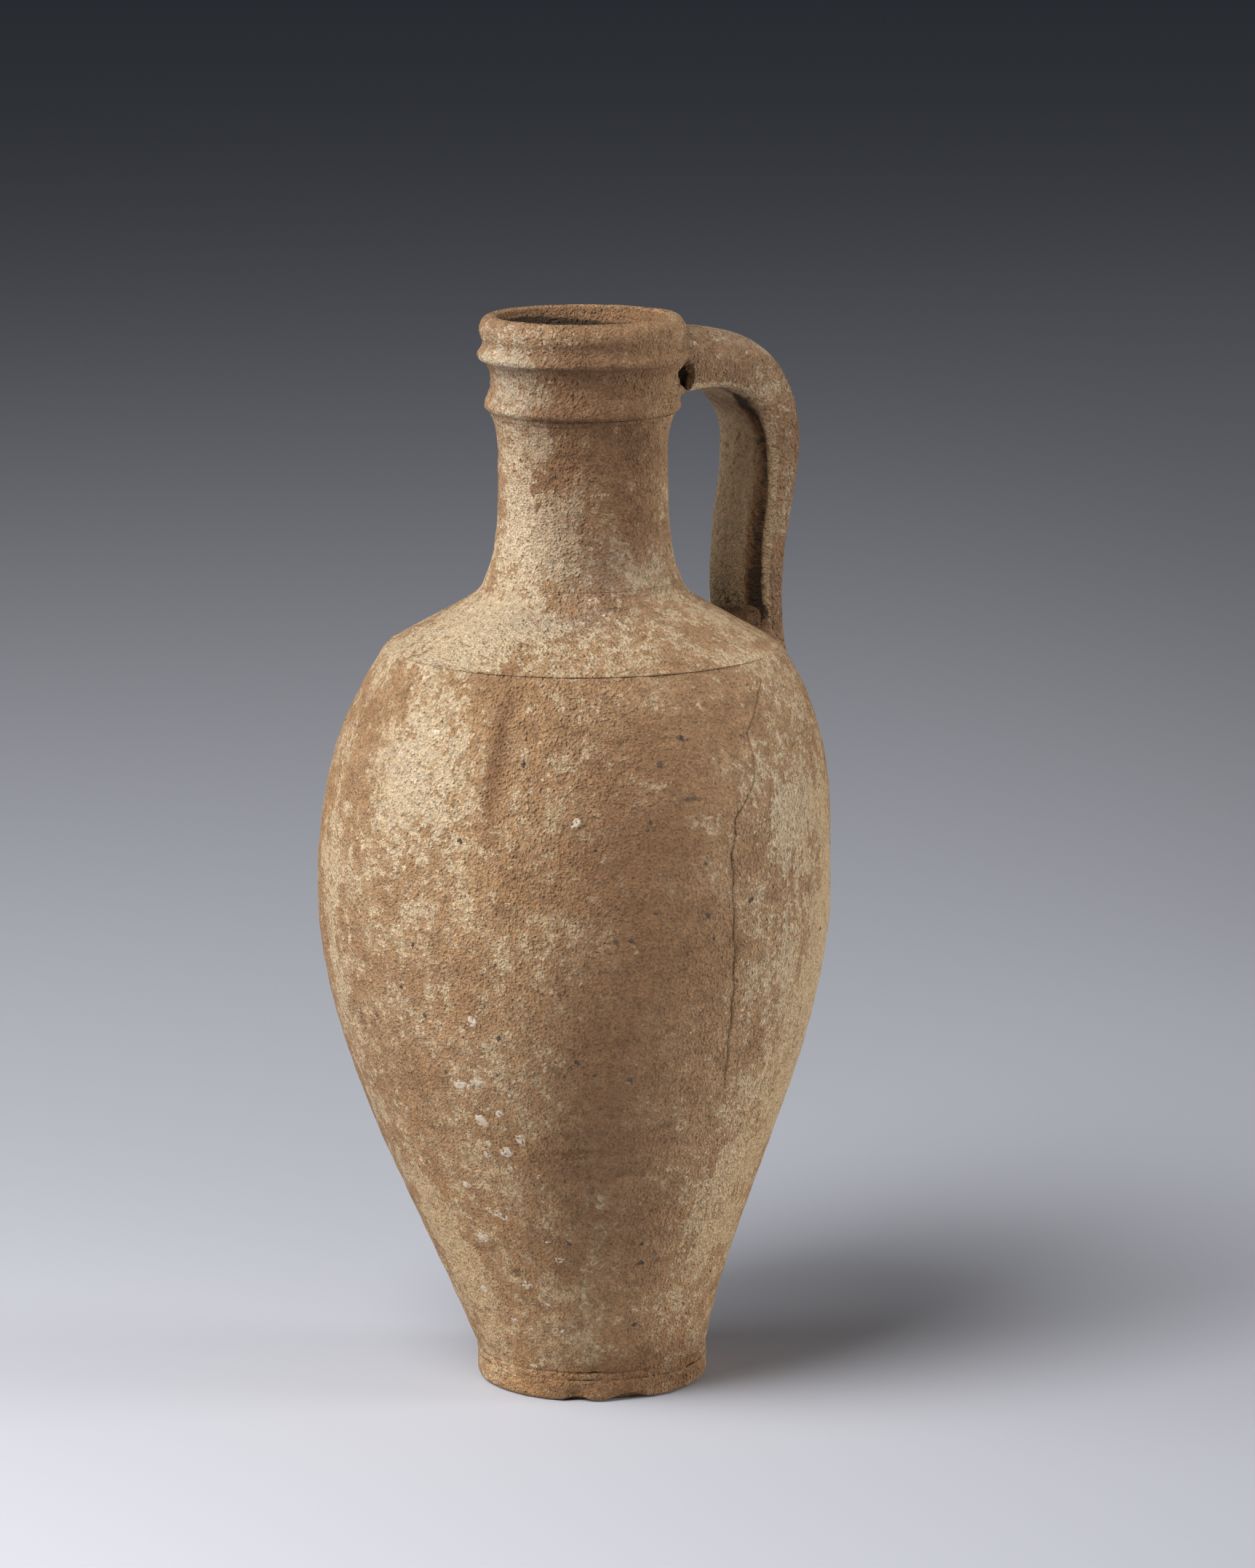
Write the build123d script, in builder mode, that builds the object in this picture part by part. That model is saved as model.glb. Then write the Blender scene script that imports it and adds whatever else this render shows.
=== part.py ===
from build123d import *
import os

# Tall one-handled jug of coarse fired clay, in the sections that a potter throws and lutes together.
# Millimetres, +Z up. The origin is the middle of the flat foot, on the plane that it rests on, and
# the handle is on the +X side. The wall leans: its axis drifts away from the handle as far as the
# belly and comes part of the way back at the neck.

# Foot and the coil of clay that the wall stands on
foot_radius = 32.2
foot_height = 6.2
foot_edge_round = 2.0
floor_radius = 24.0
coil_height = 2.4
coil_bulge = 0.4

# Thrown wall, where a slope is a change of radius for each millimetre of height
wall = 6.5
foot_slope = 0.27
belly_rise = 132.4
belly_radius = 71.1
shoulder_rise = 66.4
shoulder_radius = 55.1
shoulder_slope = -0.68
belly_lean = -5.7
neck_lean = -2.6

# Slip in the joints, and the spigots that centre one section in the next
slip = 1.0
groove_depth = 1.0
lap_depth = 4.0
lap_gap = 0.3
spigot_wall = 3.0

# Shoulder
cap_rise = 17.4
cap_bend_radius = 36.2
cap_bend_rise = 10.1
cap_slope = 0.50

# Neck
throat_radius = 18.6
neck_rise = 45.2
neck_foot_radius = 27.5
neck_foot_slope = -0.42
neck_waist_radius = 23.4
neck_waist_rise = 31.2
neck_top_radius = 25.2
neck_top_slope = 0.50

# Mouth collar, with heights from its own base
collar_rise = 26.5
collar_base_radius = 25.8
lower_ridge_radius = 26.8
lower_ridge_rise = 3.2
hollow_radius = 25.3
hollow_rise = 8.6
upper_ridge_radius = 29.0
upper_ridge_rise = 15.5
lip_groove_radius = 27.6
lip_groove_rise = 18.8
lip_radius = 28.3
lip_rise = 22.4
lip_crown_radius = 25.0
mouth_radius = 23.0
mouth_edge_drop = 1.2
funnel_rise = 13.0

# Handle, with its reach from the neck's axis and the elbow and waist set back from that
handle_width = 30.0
root_thickness = 20.0
strap_thickness = 8.5
strap_taper = 1.7
root_sink = 7.0
root_rise = 12.6
elbow_setback = 9.5
elbow_drop = 3.6
elbow_slope = 0.75
handle_reach = 59.0
handle_reach_drop = 23.4
waist_setback = 4.6
waist_rise = 14.0
strap_foot_sink = 10.0
strap_edge_share = 0.34
strap_crown_share = 0.30
strap_side_share = 0.15

# Clay wiped round the handle's two roots, and the pocket that it leaves open under the lip
upper_lute_spread = 1.2
lower_lute_spread = 2.6
lute_edge = 0.4
upper_lute_run = 9.0
lower_lute_run = 9.0
pocket_radius = 4.6
pocket_reach = 24.5
pocket_rise = 9.0
pocket_sink = 1.0

# Number of rings and sections that the lofts pass through
lower_wall_rings = 8
upper_wall_rings = 5
strap_sections = 9

# Levels, from the foot up
wall_base = foot_height + coil_height
wall_top = wall_base + belly_rise + shoulder_rise
cap_base = wall_top + slip
cap_top = cap_base + cap_rise
neck_base = cap_top + slip
neck_top = neck_base + neck_rise
collar_base = neck_top + slip
collar_top = collar_base + collar_rise
mouth_edge = collar_top - mouth_edge_drop

# Radii that two sections share
wall_mouth_radius = shoulder_radius - wall
cap_radius = shoulder_radius + shoulder_slope * slip
neck_base_radius = neck_foot_radius + neck_foot_slope * slip
cap_spigot_radius = wall_mouth_radius - lap_gap
cap_spigot_bore = cap_spigot_radius - spigot_wall
neck_spigot_radius = throat_radius + spigot_wall
neck_socket_radius = neck_spigot_radius + lap_gap
socket_depth = lap_depth + lap_gap

# Round sections start on the side away from the handle, so no seam runs under its roots
neck_axis = Axis((neck_lean, 0, 0), (0, 0, 1))
neck_plane = Plane((neck_lean, 0, 0), x_dir=(-1, 0, 0), z_dir=(0, 1, 0))


def blend(start, end, start_slope, end_slope, rise, height):
    """Cubic curve between two values a rise apart, with a slope at each, read at a height."""
    share = height / rise
    weight = share**2 * (3 - 2 * share)
    start_pull = share * (1 - share) ** 2
    end_pull = share**2 * (share - 1)
    return start + (end - start) * weight + rise * (start_slope * start_pull + end_slope * end_pull)


def wall_radius(height):
    """Outer radius of the thrown wall at a height above its base."""
    if height < belly_rise:
        return blend(foot_radius, belly_radius, foot_slope, 0, belly_rise, height)
    return blend(belly_radius, shoulder_radius, 0, shoulder_slope, shoulder_rise, height - belly_rise)


def wall_lean(height):
    """Sideways drift of the wall's axis at a height above its base."""
    if height < belly_rise:
        return blend(0, belly_lean, 3 * belly_lean / belly_rise, 0, belly_rise, height)
    return blend(belly_lean, neck_lean, 0, 0, shoulder_rise, height - belly_rise)


def wall_rings(inset):
    """Level discs of the wall, drawn in by an inset, from its base to its upper edge."""
    lower_step = belly_rise / lower_wall_rings
    upper_step = shoulder_rise / upper_wall_rings
    heights = [lower_step * ring for ring in range(lower_wall_rings)]
    heights += [belly_rise + upper_step * ring for ring in range(upper_wall_rings + 1)]
    rings = []
    for height in heights:
        centre = (wall_lean(height), 0, wall_base + height)
        with BuildSketch(Plane(centre, x_dir=(-1, 0, 0))) as ring:
            Circle(wall_radius(height) - inset)
        rings.append(ring.sketch)
    return rings


def cap_line():
    """Upper face of the shoulder, from its outer edge in to the foot of the neck."""
    return Spline(
        (cap_radius, cap_base),
        (cap_bend_radius, cap_base + cap_bend_rise),
        (neck_foot_radius, cap_top),
        tangents=((-1, cap_slope), (neck_foot_slope, 1)),
    )


def neck_line():
    """Outside of the neck, flared at its foot and waisted below the collar."""
    return Spline(
        (neck_base_radius, neck_base),
        (neck_waist_radius, neck_base + neck_waist_rise),
        (neck_top_radius, neck_top),
        tangents=((neck_foot_slope, 1), (neck_top_slope, 1)),
    )


def collar_line():
    """Outside of the collar, from its base over both ridges and the lip to the mouth's edge."""
    upper_ridge = (upper_ridge_radius, collar_base + upper_ridge_rise)
    lip = (lip_radius, collar_base + lip_rise)
    Spline(
        (collar_base_radius, collar_base),
        (lower_ridge_radius, collar_base + lower_ridge_rise),
        (hollow_radius, collar_base + hollow_rise),
        upper_ridge,
    )
    ThreePointArc(upper_ridge, (lip_groove_radius, collar_base + lip_groove_rise), lip)
    Spline(
        lip,
        (lip_crown_radius, collar_top),
        (mouth_radius, mouth_edge),
        tangents=((0, 1), (-neck_top_slope, -1)),
    )


# The jug's outer form, filled in: the handle and its luting are cut to seat on it
with BuildPart() as jug_form:
    loft(wall_rings(0))
    with BuildSketch(neck_plane):
        with BuildLine():
            Polyline((0, mouth_edge), (0, wall_top), (shoulder_radius, wall_top), (cap_radius, cap_base))
            cap_line()
            Line((neck_foot_radius, cap_top), (neck_base_radius, neck_base))
            neck_line()
            Line((neck_top_radius, neck_top), (collar_base_radius, collar_base))
            collar_line()
            Line((mouth_radius, mouth_edge), (0, mouth_edge))
        make_face()
    revolve(axis=neck_axis)

# Foot: a flat disc whose raised middle is the jug's floor
with BuildPart() as foot:
    Cylinder(foot_radius, foot_height, align=(Align.CENTER, Align.CENTER, Align.MIN))
    fillet(foot.edges().group_by(Axis.Z)[0], foot_edge_round)
    Cylinder(floor_radius, wall_base, align=(Align.CENTER, Align.CENTER, Align.MIN))

# Coil pressed round the floor, bulging a little past the foot
with BuildPart() as foot_coil:
    with BuildSketch(Plane.XZ):
        with BuildLine():
            Polyline(
                (foot_radius, foot_height),
                (floor_radius, foot_height),
                (floor_radius, wall_base),
                (foot_radius, wall_base),
            )
            ThreePointArc(
                (foot_radius, wall_base),
                (foot_radius + coil_bulge, foot_height + coil_height / 2),
                (foot_radius, foot_height),
            )
        make_face()
    revolve(axis=Axis.Z)

# Thrown wall, from the coil over the belly to the shoulder's edge
with BuildPart() as body_wall:
    loft(wall_rings(0))
    loft(wall_rings(wall), mode=Mode.SUBTRACT)

# Slip in the shoulder joint, held back from the surface to leave the groove
with BuildPart() as shoulder_lute:
    with BuildSketch(Plane((neck_lean, 0, wall_top))):
        Circle(cap_radius - groove_depth)
        Circle(wall_mouth_radius, mode=Mode.SUBTRACT)
    extrude(amount=slip)

# Shoulder, with a spigot that drops into the wall and a socket for the neck
with BuildPart() as shoulder:
    with BuildSketch(neck_plane):
        with BuildLine():
            cap_line()
            Polyline(
                (neck_foot_radius, cap_top),
                (neck_socket_radius, cap_top),
                (neck_socket_radius, cap_top - socket_depth - spigot_wall),
                (cap_spigot_bore, cap_base),
                (cap_spigot_bore, wall_top - lap_depth),
                (cap_spigot_radius, wall_top - lap_depth),
                (cap_spigot_radius, cap_base),
                (cap_radius, cap_base),
            )
        make_face()
    revolve(axis=neck_axis)

# Slip at the foot of the neck
with BuildPart() as neck_lute:
    with BuildSketch(neck_plane):
        with BuildLine():
            Polyline(
                (neck_foot_radius, cap_top),
                (neck_base_radius, neck_base),
                (neck_socket_radius, neck_base),
                (neck_socket_radius, cap_top),
                close=True,
            )
        make_face()
    revolve(axis=neck_axis)

# Neck, a waisted tube with a spigot at each end
with BuildPart() as neck:
    with BuildSketch(neck_plane):
        with BuildLine():
            neck_line()
            Polyline(
                (neck_top_radius, neck_top),
                (neck_spigot_radius, neck_top),
                (neck_spigot_radius, collar_base + lap_depth),
                (throat_radius, collar_base + lap_depth),
                (throat_radius, cap_top - lap_depth),
                (neck_spigot_radius, cap_top - lap_depth),
                (neck_spigot_radius, neck_base),
                (neck_base_radius, neck_base),
            )
        make_face()
    revolve(axis=neck_axis)

# Slip under the collar
with BuildPart() as collar_lute:
    with BuildSketch(neck_plane):
        with BuildLine():
            Polyline(
                (neck_top_radius, neck_top),
                (collar_base_radius, collar_base),
                (neck_socket_radius, collar_base),
                (neck_socket_radius, neck_top),
                close=True,
            )
        make_face()
    revolve(axis=neck_axis)

# Mouth collar: two ridges, a grooved lip and a funnel down to the throat
with BuildPart() as mouth_collar:
    with BuildSketch(neck_plane):
        with BuildLine():
            collar_line()
            Spline(
                (mouth_radius, mouth_edge),
                (throat_radius, collar_base + funnel_rise),
                tangents=((-neck_top_slope, -1), (0, -1)),
            )
            Polyline(
                (throat_radius, collar_base + funnel_rise),
                (throat_radius, collar_base + socket_depth),
                (neck_socket_radius, collar_base + socket_depth),
                (neck_socket_radius, collar_base),
                (collar_base_radius, collar_base),
            )
        make_face()
    revolve(axis=neck_axis)

# The handle's route, from inside the collar out, over and down into the wall
root_level = collar_base + root_rise
with BuildLine(Plane.XZ) as strap_route:
    Spline(
        (neck_lean + hollow_radius - root_sink, root_level),
        (neck_lean + handle_reach - elbow_setback, root_level - elbow_drop),
        (neck_lean + handle_reach, root_level - handle_reach_drop),
        (neck_lean + handle_reach - waist_setback, cap_base + waist_rise),
        (neck_lean + shoulder_radius, wall_top - strap_foot_sink),
        tangents=((1, 0), (1, -elbow_slope), (0, -1), (0, -1), (0, -1)),
    )
route = strap_route.edge()


def strap_section(share, spread):
    """Section of the strap at a share of its route, grown all round by a spread."""
    thickness = strap_thickness + (root_thickness - strap_thickness) * (1 - share) ** strap_taper
    half = handle_width / 2 + spread
    deep = thickness / 2 + spread
    flat = half - strap_edge_share * thickness
    brow = deep * (1 - strap_crown_share)
    side = -deep * strap_side_share
    with BuildSketch(Plane(route @ share, x_dir=(0, 1, 0), z_dir=route % share)) as section:
        with BuildLine():
            ThreePointArc((-flat, brow), (0, deep), (flat, brow))
            ThreePointArc((flat, brow), (half, side), (flat, -deep))
            Line((flat, -deep), (-flat, -deep))
            ThreePointArc((-flat, -deep), (-half, side), (-flat, brow))
        make_face()
    return section.sketch


def pocket():
    """Hollow in the near side of the upper root, where the clay doesn't fill the collar's hollow."""
    side = pocket_sink - handle_width / 2
    with Locations((neck_lean + pocket_reach, side, collar_base + pocket_rise)):
        Sphere(pocket_radius, mode=Mode.SUBTRACT)


# Handle: a pulled strap, thick at the collar and thin down to the shoulder
with BuildPart() as handle:
    loft([strap_section(station / (strap_sections - 1), 0) for station in range(strap_sections)])
    add(jug_form.part, mode=Mode.SUBTRACT)
    pocket()

# Clay wiped round the upper root, thickest against the collar
upper_lute_end = (root_sink + upper_ridge_radius - hollow_radius + upper_lute_run) / route.length
with BuildPart() as upper_root_lute:
    loft(
        [
            strap_section(0, upper_lute_spread),
            strap_section(upper_lute_end / 2, upper_lute_spread),
            strap_section(upper_lute_end, lute_edge),
        ]
    )
    add(jug_form.part, mode=Mode.SUBTRACT)
    add(handle.part, mode=Mode.SUBTRACT)
    pocket()

# Clay wiped round the lower root, thickest against the shoulder
lower_lute_start = 1 - (strap_foot_sink + lower_lute_run) / route.length
with BuildPart() as lower_root_lute:
    loft(
        [
            strap_section(lower_lute_start, lute_edge),
            strap_section((1 + lower_lute_start) / 2, lower_lute_spread),
            strap_section(1, lower_lute_spread),
        ]
    )
    add(jug_form.part, mode=Mode.SUBTRACT)
    add(handle.part, mode=Mode.SUBTRACT)

pieces = {
    "foot": foot,
    "foot_coil": foot_coil,
    "body_wall": body_wall,
    "shoulder_lute": shoulder_lute,
    "shoulder": shoulder,
    "neck_lute": neck_lute,
    "neck": neck,
    "collar_lute": collar_lute,
    "mouth_collar": mouth_collar,
    "handle": handle,
    "upper_root_lute": upper_root_lute,
    "lower_root_lute": lower_root_lute,
}

os.makedirs("parts", exist_ok=True)
for name, piece in pieces.items():
    piece.part.label = name
    export_step(piece.part, f"parts/{name}.step")
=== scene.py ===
"""Looks of a tall one-handled jug of coarse fired clay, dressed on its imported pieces.

Lengths are in millimetres from the middle of the flat foot until a mesh is written, and bearings are
in degrees about the jug's axis, counter-clockwise from the side that carries the handle.
"""

from __future__ import annotations

import logging
import math
from dataclasses import asdict, dataclass, fields
from enum import Enum
from typing import Any, Optional, Sequence, Union

import bpy
import numpy as np
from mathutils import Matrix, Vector


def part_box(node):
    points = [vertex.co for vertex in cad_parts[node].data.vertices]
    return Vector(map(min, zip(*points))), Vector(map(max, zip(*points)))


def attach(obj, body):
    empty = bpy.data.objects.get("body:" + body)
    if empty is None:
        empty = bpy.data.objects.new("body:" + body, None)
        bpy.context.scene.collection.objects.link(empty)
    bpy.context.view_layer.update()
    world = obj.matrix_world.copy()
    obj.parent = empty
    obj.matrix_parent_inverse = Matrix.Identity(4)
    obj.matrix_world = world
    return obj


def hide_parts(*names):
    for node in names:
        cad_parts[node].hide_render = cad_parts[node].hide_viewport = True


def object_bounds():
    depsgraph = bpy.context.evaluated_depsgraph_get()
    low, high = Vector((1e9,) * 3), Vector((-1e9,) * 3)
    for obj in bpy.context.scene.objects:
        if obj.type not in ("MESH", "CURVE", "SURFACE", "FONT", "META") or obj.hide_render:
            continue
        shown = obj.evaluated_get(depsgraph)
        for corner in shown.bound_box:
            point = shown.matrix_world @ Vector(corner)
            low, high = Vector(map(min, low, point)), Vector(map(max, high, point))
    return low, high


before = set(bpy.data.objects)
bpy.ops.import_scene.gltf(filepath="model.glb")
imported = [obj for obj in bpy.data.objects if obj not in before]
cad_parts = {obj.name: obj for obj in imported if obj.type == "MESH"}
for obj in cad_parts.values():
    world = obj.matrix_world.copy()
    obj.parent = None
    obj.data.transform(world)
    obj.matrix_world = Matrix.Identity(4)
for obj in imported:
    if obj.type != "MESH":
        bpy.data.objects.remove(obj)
CAD_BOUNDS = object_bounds()

MM = 0.001
HAIR = 1e-6
SPLINE_POINTS = 60
# The outermost clay takes the wear and the paint, and the joints have almost sharp corners.
OUTER_LAYER = 3.0
SEAM_ROUND = 0.06
PIT_LAYER = "pit"
log = logging.getLogger("jug")

Colour = tuple[float, float, float]
Line = np.ndarray


class Slot(Enum):
    """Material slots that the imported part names."""

    CLAY = "fired_clay"
    STRAP = "handle_clay"
    SLIP = "luting_slip"


class Coat(Enum):
    """Painted layers that each vertex carries a share of."""

    SLIP = "slip"
    # The next two layers hold painted shade as well as real brown staining and earth.
    STAIN_AND_SHADE = "stain_and_shade"
    SOIL_AND_SHADE = "soil_and_shade"
    FILM = "film"
    OCHRE = "ochre"
    SPOT = "spot"
    CRACK = "crack"
    WIPE = "wipe"


def blend(start: float, end: float, start_slope: float, end_slope: float, rise: float, height: Line) -> Line:
    """Read a cubic curve between two values, with a slope at each.

    Args:
        start: Value at height 0.
        end: Value at the rise.
        start_slope: Slope at height 0.
        end_slope: Slope at the rise.
        rise: Height between the two values.
        height: Heights to read the curve at.

    Returns:
        The value at each height.
    """
    share = height / rise
    weight = share**2 * (3 - 2 * share)
    pull = start_slope * share * (1 - share) ** 2 + end_slope * share**2 * (share - 1)
    return start + (end - start) * weight + rise * pull


def smooth(value: Line, low: float, high: float) -> Line:
    """Ease values from 0 at a low mark to 1 at a high mark."""
    share = np.clip((value - low) / (high - low), 0.0, 1.0)
    return share * share * (3 - 2 * share)


def travel(line: Line) -> Line:
    """Measure the way along a line up to each of its points."""
    return np.concatenate([[0.0], np.cumsum(np.linalg.norm(np.diff(line, axis=0), axis=1))])


def unit(vectors: Line) -> Line:
    """Bring vectors, one a row, to a length of 1."""
    return vectors / np.linalg.norm(vectors, axis=1)[:, None]


def even(line: Line, step: float) -> Line:
    """Place points evenly along a line.

    Args:
        line: Points of the line, one a row.
        step: Distance between the new points, about.

    Returns:
        The new points, with both ends kept.
    """
    run = travel(line)
    marks = np.linspace(0.0, run[-1], max(2, int(round(run[-1] / step)) + 1))
    return np.stack([np.interp(marks, run, axis) for axis in line.T], axis=1)


def sides(corners: Sequence[Sequence[float]], steps: Sequence[float]) -> list[Line]:
    """Draw a straight side from each corner to the next, with a step between points for each side."""
    ends = np.array(corners, float)
    return [even(ends[side : side + 2], step) for side, step in enumerate(steps)]


def through(knots: Line, slopes: Line, count: int) -> Line:
    """Draw a curve through points with a given direction at each.

    Args:
        knots: Points on the curve.
        slopes: Direction at each of them.
        count: Number of points to draw from one knot to the next.

    Returns:
        Points along the curve.
    """
    share = np.linspace(0, 1, count)[:, None]
    runs = []
    for place, chord in enumerate(np.linalg.norm(np.diff(knots, axis=0), axis=1)):
        first, last = knots[place : place + 2]
        pull = slopes[place] * share * (1 - share) ** 2 + slopes[place + 1] * share**2 * (share - 1)
        run = first * (1 + 2 * share) * (1 - share) ** 2 + last * share**2 * (3 - 2 * share) + chord * pull
        runs.append(run[1:] if place else run)
    return np.concatenate(runs)


def spline(points: Sequence[Sequence[float]], start: Sequence[float] = (), end: Sequence[float] = ()) -> Line:
    """Draw a smooth curve through points.

    Args:
        points: Points on the curve.
        start: Direction at the first point, or nothing for a free end.
        end: Direction at the last point, or nothing for a free end.

    Returns:
        Points along the curve, close together.
    """
    knots = np.array(points, float)
    count = len(knots)
    chord = np.linalg.norm(np.diff(knots, axis=0), axis=1)
    matrix, target = np.zeros((count, count)), np.zeros_like(knots)
    for row in range(1, count - 1):
        before, after = chord[row - 1 : row + 1]
        matrix[row, row - 1 : row + 2] = after, 2 * (before + after), before
        target[row] = 3 * (
            after * (knots[row] - knots[row - 1]) / before + before * (knots[row + 1] - knots[row]) / after
        )
    for row, near, side, direction in ((0, 1, 0, start), (count - 1, count - 2, count - 2, end)):
        if len(direction):
            matrix[row, row] = 1
            target[row] = np.array(direction) / np.linalg.norm(direction)
        else:
            matrix[row, row], matrix[row, near] = 2, 1
            target[row] = 3 * (knots[side + 1] - knots[side]) / chord[side]
    return through(knots, np.linalg.solve(matrix, target), SPLINE_POINTS)


def trim(line: Line, first_cut: float, last_cut: float) -> Line:
    """Cut a length off each end of a line.

    Args:
        line: Points of the line.
        first_cut: Length to cut from the start.
        last_cut: Length to cut from the end.

    Returns:
        The points that are left, with new end points.
    """
    run = travel(line)
    first, last = min(first_cut, run[-1] / 3), run[-1] - min(last_cut, run[-1] / 3)
    ends = np.array([[np.interp(mark, run, axis) for axis in line.T] for mark in (first, last)])
    kept = line[(run > first + HAIR) & (run < last - HAIR)]
    return np.concatenate([ends[:1], kept, ends[1:]])


def ease(lines: Sequence[Line], cuts: Sequence[float], closed: bool = True) -> Line:
    """Join lines end to end with worn corners.

    Args:
        lines: Lines that follow one another.
        cuts: Length that the corner after each line takes off both of its sides.
        closed: Whether the last line leads back to the first.

    Returns:
        Points of the whole outline, without its first point again at the end.
    """
    count = len(lines)
    share = np.linspace(0, 1, 6)[1:-1, None]
    outline = []
    for place, line in enumerate(lines):
        before = cuts[place - 1] if closed or place else 0.0
        after = cuts[place] if closed or place < count - 1 else 0.0
        outline.append(trim(line, before, after))
        if after:
            leaving, corner = outline[-1][-1], line[-1]
            following = trim(lines[(place + 1) % count], after, 0.0)[0]
            outline.append(
                leaving * (1 - share) ** 2 + 2 * corner * share * (1 - share) + following * share**2
            )
    joined = np.concatenate(outline)
    fresh = np.concatenate([[True], np.linalg.norm(np.diff(joined, axis=0), axis=1) > 10 * HAIR])
    return joined[fresh]


def span(node: str) -> tuple[float, float]:
    """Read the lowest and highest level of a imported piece, in millimetres."""
    low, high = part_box(node)
    return low.z / MM, high.z / MM


@dataclass(frozen=True)
class JugForm:
    """Outer form of the jug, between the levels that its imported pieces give."""

    foot_radius: float = 32.2
    foot_slope: float = 0.27
    belly_level: float = 141.0
    belly_radius: float = 71.1
    shoulder_radius: float = 55.1
    shoulder_slope: float = -0.68
    belly_lean: float = -5.7
    neck_lean: float = -2.6
    wall: float = 6.5
    throat_radius: float = 18.6
    foot_level: float = span("foot_coil")[0]
    wall_base: float = span("foot_coil")[1]
    wall_top: float = span("body_wall")[1]
    cap_base: float = span("shoulder_lute")[1]
    cap_top: float = span("neck_lute")[0]
    neck_base: float = span("neck_lute")[1]
    neck_top: float = span("collar_lute")[0]
    collar_base: float = span("collar_lute")[1]
    collar_top: float = span("mouth_collar")[1]

    def wall_radius(self, level: Line) -> Line:
        """Read the outer radius of the thrown wall.

        Args:
            level: Levels to read it at.

        Returns:
            The radius at each level.
        """
        rise = self.belly_level - self.wall_base
        low = blend(self.foot_radius, self.belly_radius, self.foot_slope, 0, rise, level - self.wall_base)
        rise = self.wall_top - self.belly_level
        high = blend(
            self.belly_radius, self.shoulder_radius, 0, self.shoulder_slope, rise, level - self.belly_level
        )
        return np.where(level < self.belly_level, low, high)

    def axis(self, level: Line) -> Line:
        """Read how far the jug's axis has drifted sideways.

        Args:
            level: Levels to read it at.

        Returns:
            The drift towards the handle at each level, below zero where it leans away.
        """
        rise = self.belly_level - self.wall_base
        height = np.clip(level, self.wall_base, self.wall_top)
        low = blend(0, self.belly_lean, 3 * self.belly_lean / rise, 0, rise, height - self.wall_base)
        rise = self.wall_top - self.belly_level
        high = blend(self.belly_lean, self.neck_lean, 0, 0, rise, height - self.belly_level)
        return np.where(height < self.belly_level, low, high)

    def wall_line(self) -> Line:
        """Draw the wall's outer face upwards, as points of radius and level."""
        level = np.linspace(self.wall_base, self.wall_top, 400)
        return np.stack([self.wall_radius(level), level], axis=1)

    def cap_line(self) -> Line:
        """Draw the shoulder's upper face in to the neck.

        Returns:
            Points of radius and level.
        """
        edge = self.shoulder_radius + self.shoulder_slope * (self.cap_base - self.wall_top)
        points = [(edge, self.cap_base), (36.2, self.cap_base + 10.1), (27.5, self.cap_top)]
        return spline(points, start=(-1, 0.5), end=(-0.42, 1))

    def neck_line(self) -> Line:
        """Draw the neck's outer face upwards, as points of radius and level."""
        points = [(27.08, self.neck_base), (23.4, self.neck_base + 31.2), (25.2, self.neck_top)]
        return spline(points, start=(-0.42, 1), end=(0.5, 1))

    def collar_line(self) -> Line:
        """Draw the collar's outer face up over both ridges and the lip to the mouth's edge.

        Returns:
            Points of radius and level.
        """
        base = self.collar_base
        waist, brim = (26.6, base + 13.5), (28.3, base + 21.6)
        skirt = [(25.5, base), (26.7, base + 0.9), (26.9, base + 2.6), (25.7, base + 6.0), (25.3, base + 8.6)]
        skirt = spline(skirt + [(25.7, base + 11.4), waist])
        ridge = [waist, (28.5, base + 14.6), (28.95, base + 15.6), (27.5, base + 18.4), brim]
        ridge = spline(ridge, start=(1.2, 1), end=(0.25, 1))
        lip = [brim, (27.6, base + 25.0), (25.2, self.collar_top), (23.0, base + 25.3)]
        lip = spline(lip, start=(0.25, 1), end=(-0.4, -1))
        return np.concatenate([skirt, ridge[1:], lip[1:]])

    def outline(self) -> Line:
        """Draw the whole outer face from the wall's base to the lip's top, with the level always rising."""
        whole = np.concatenate([self.wall_line(), self.cap_line(), self.neck_line(), self.collar_line()])
        return whole[np.concatenate([[True], np.diff(np.maximum.accumulate(whole[:, 1])) > HAIR])]

    def radius(self, level: Line) -> Line:
        """Read the outer radius anywhere on the jug, by its levels."""
        whole = self.outline()
        return np.interp(level, whole[:, 1], whole[:, 0])


FORM = JugForm()


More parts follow.
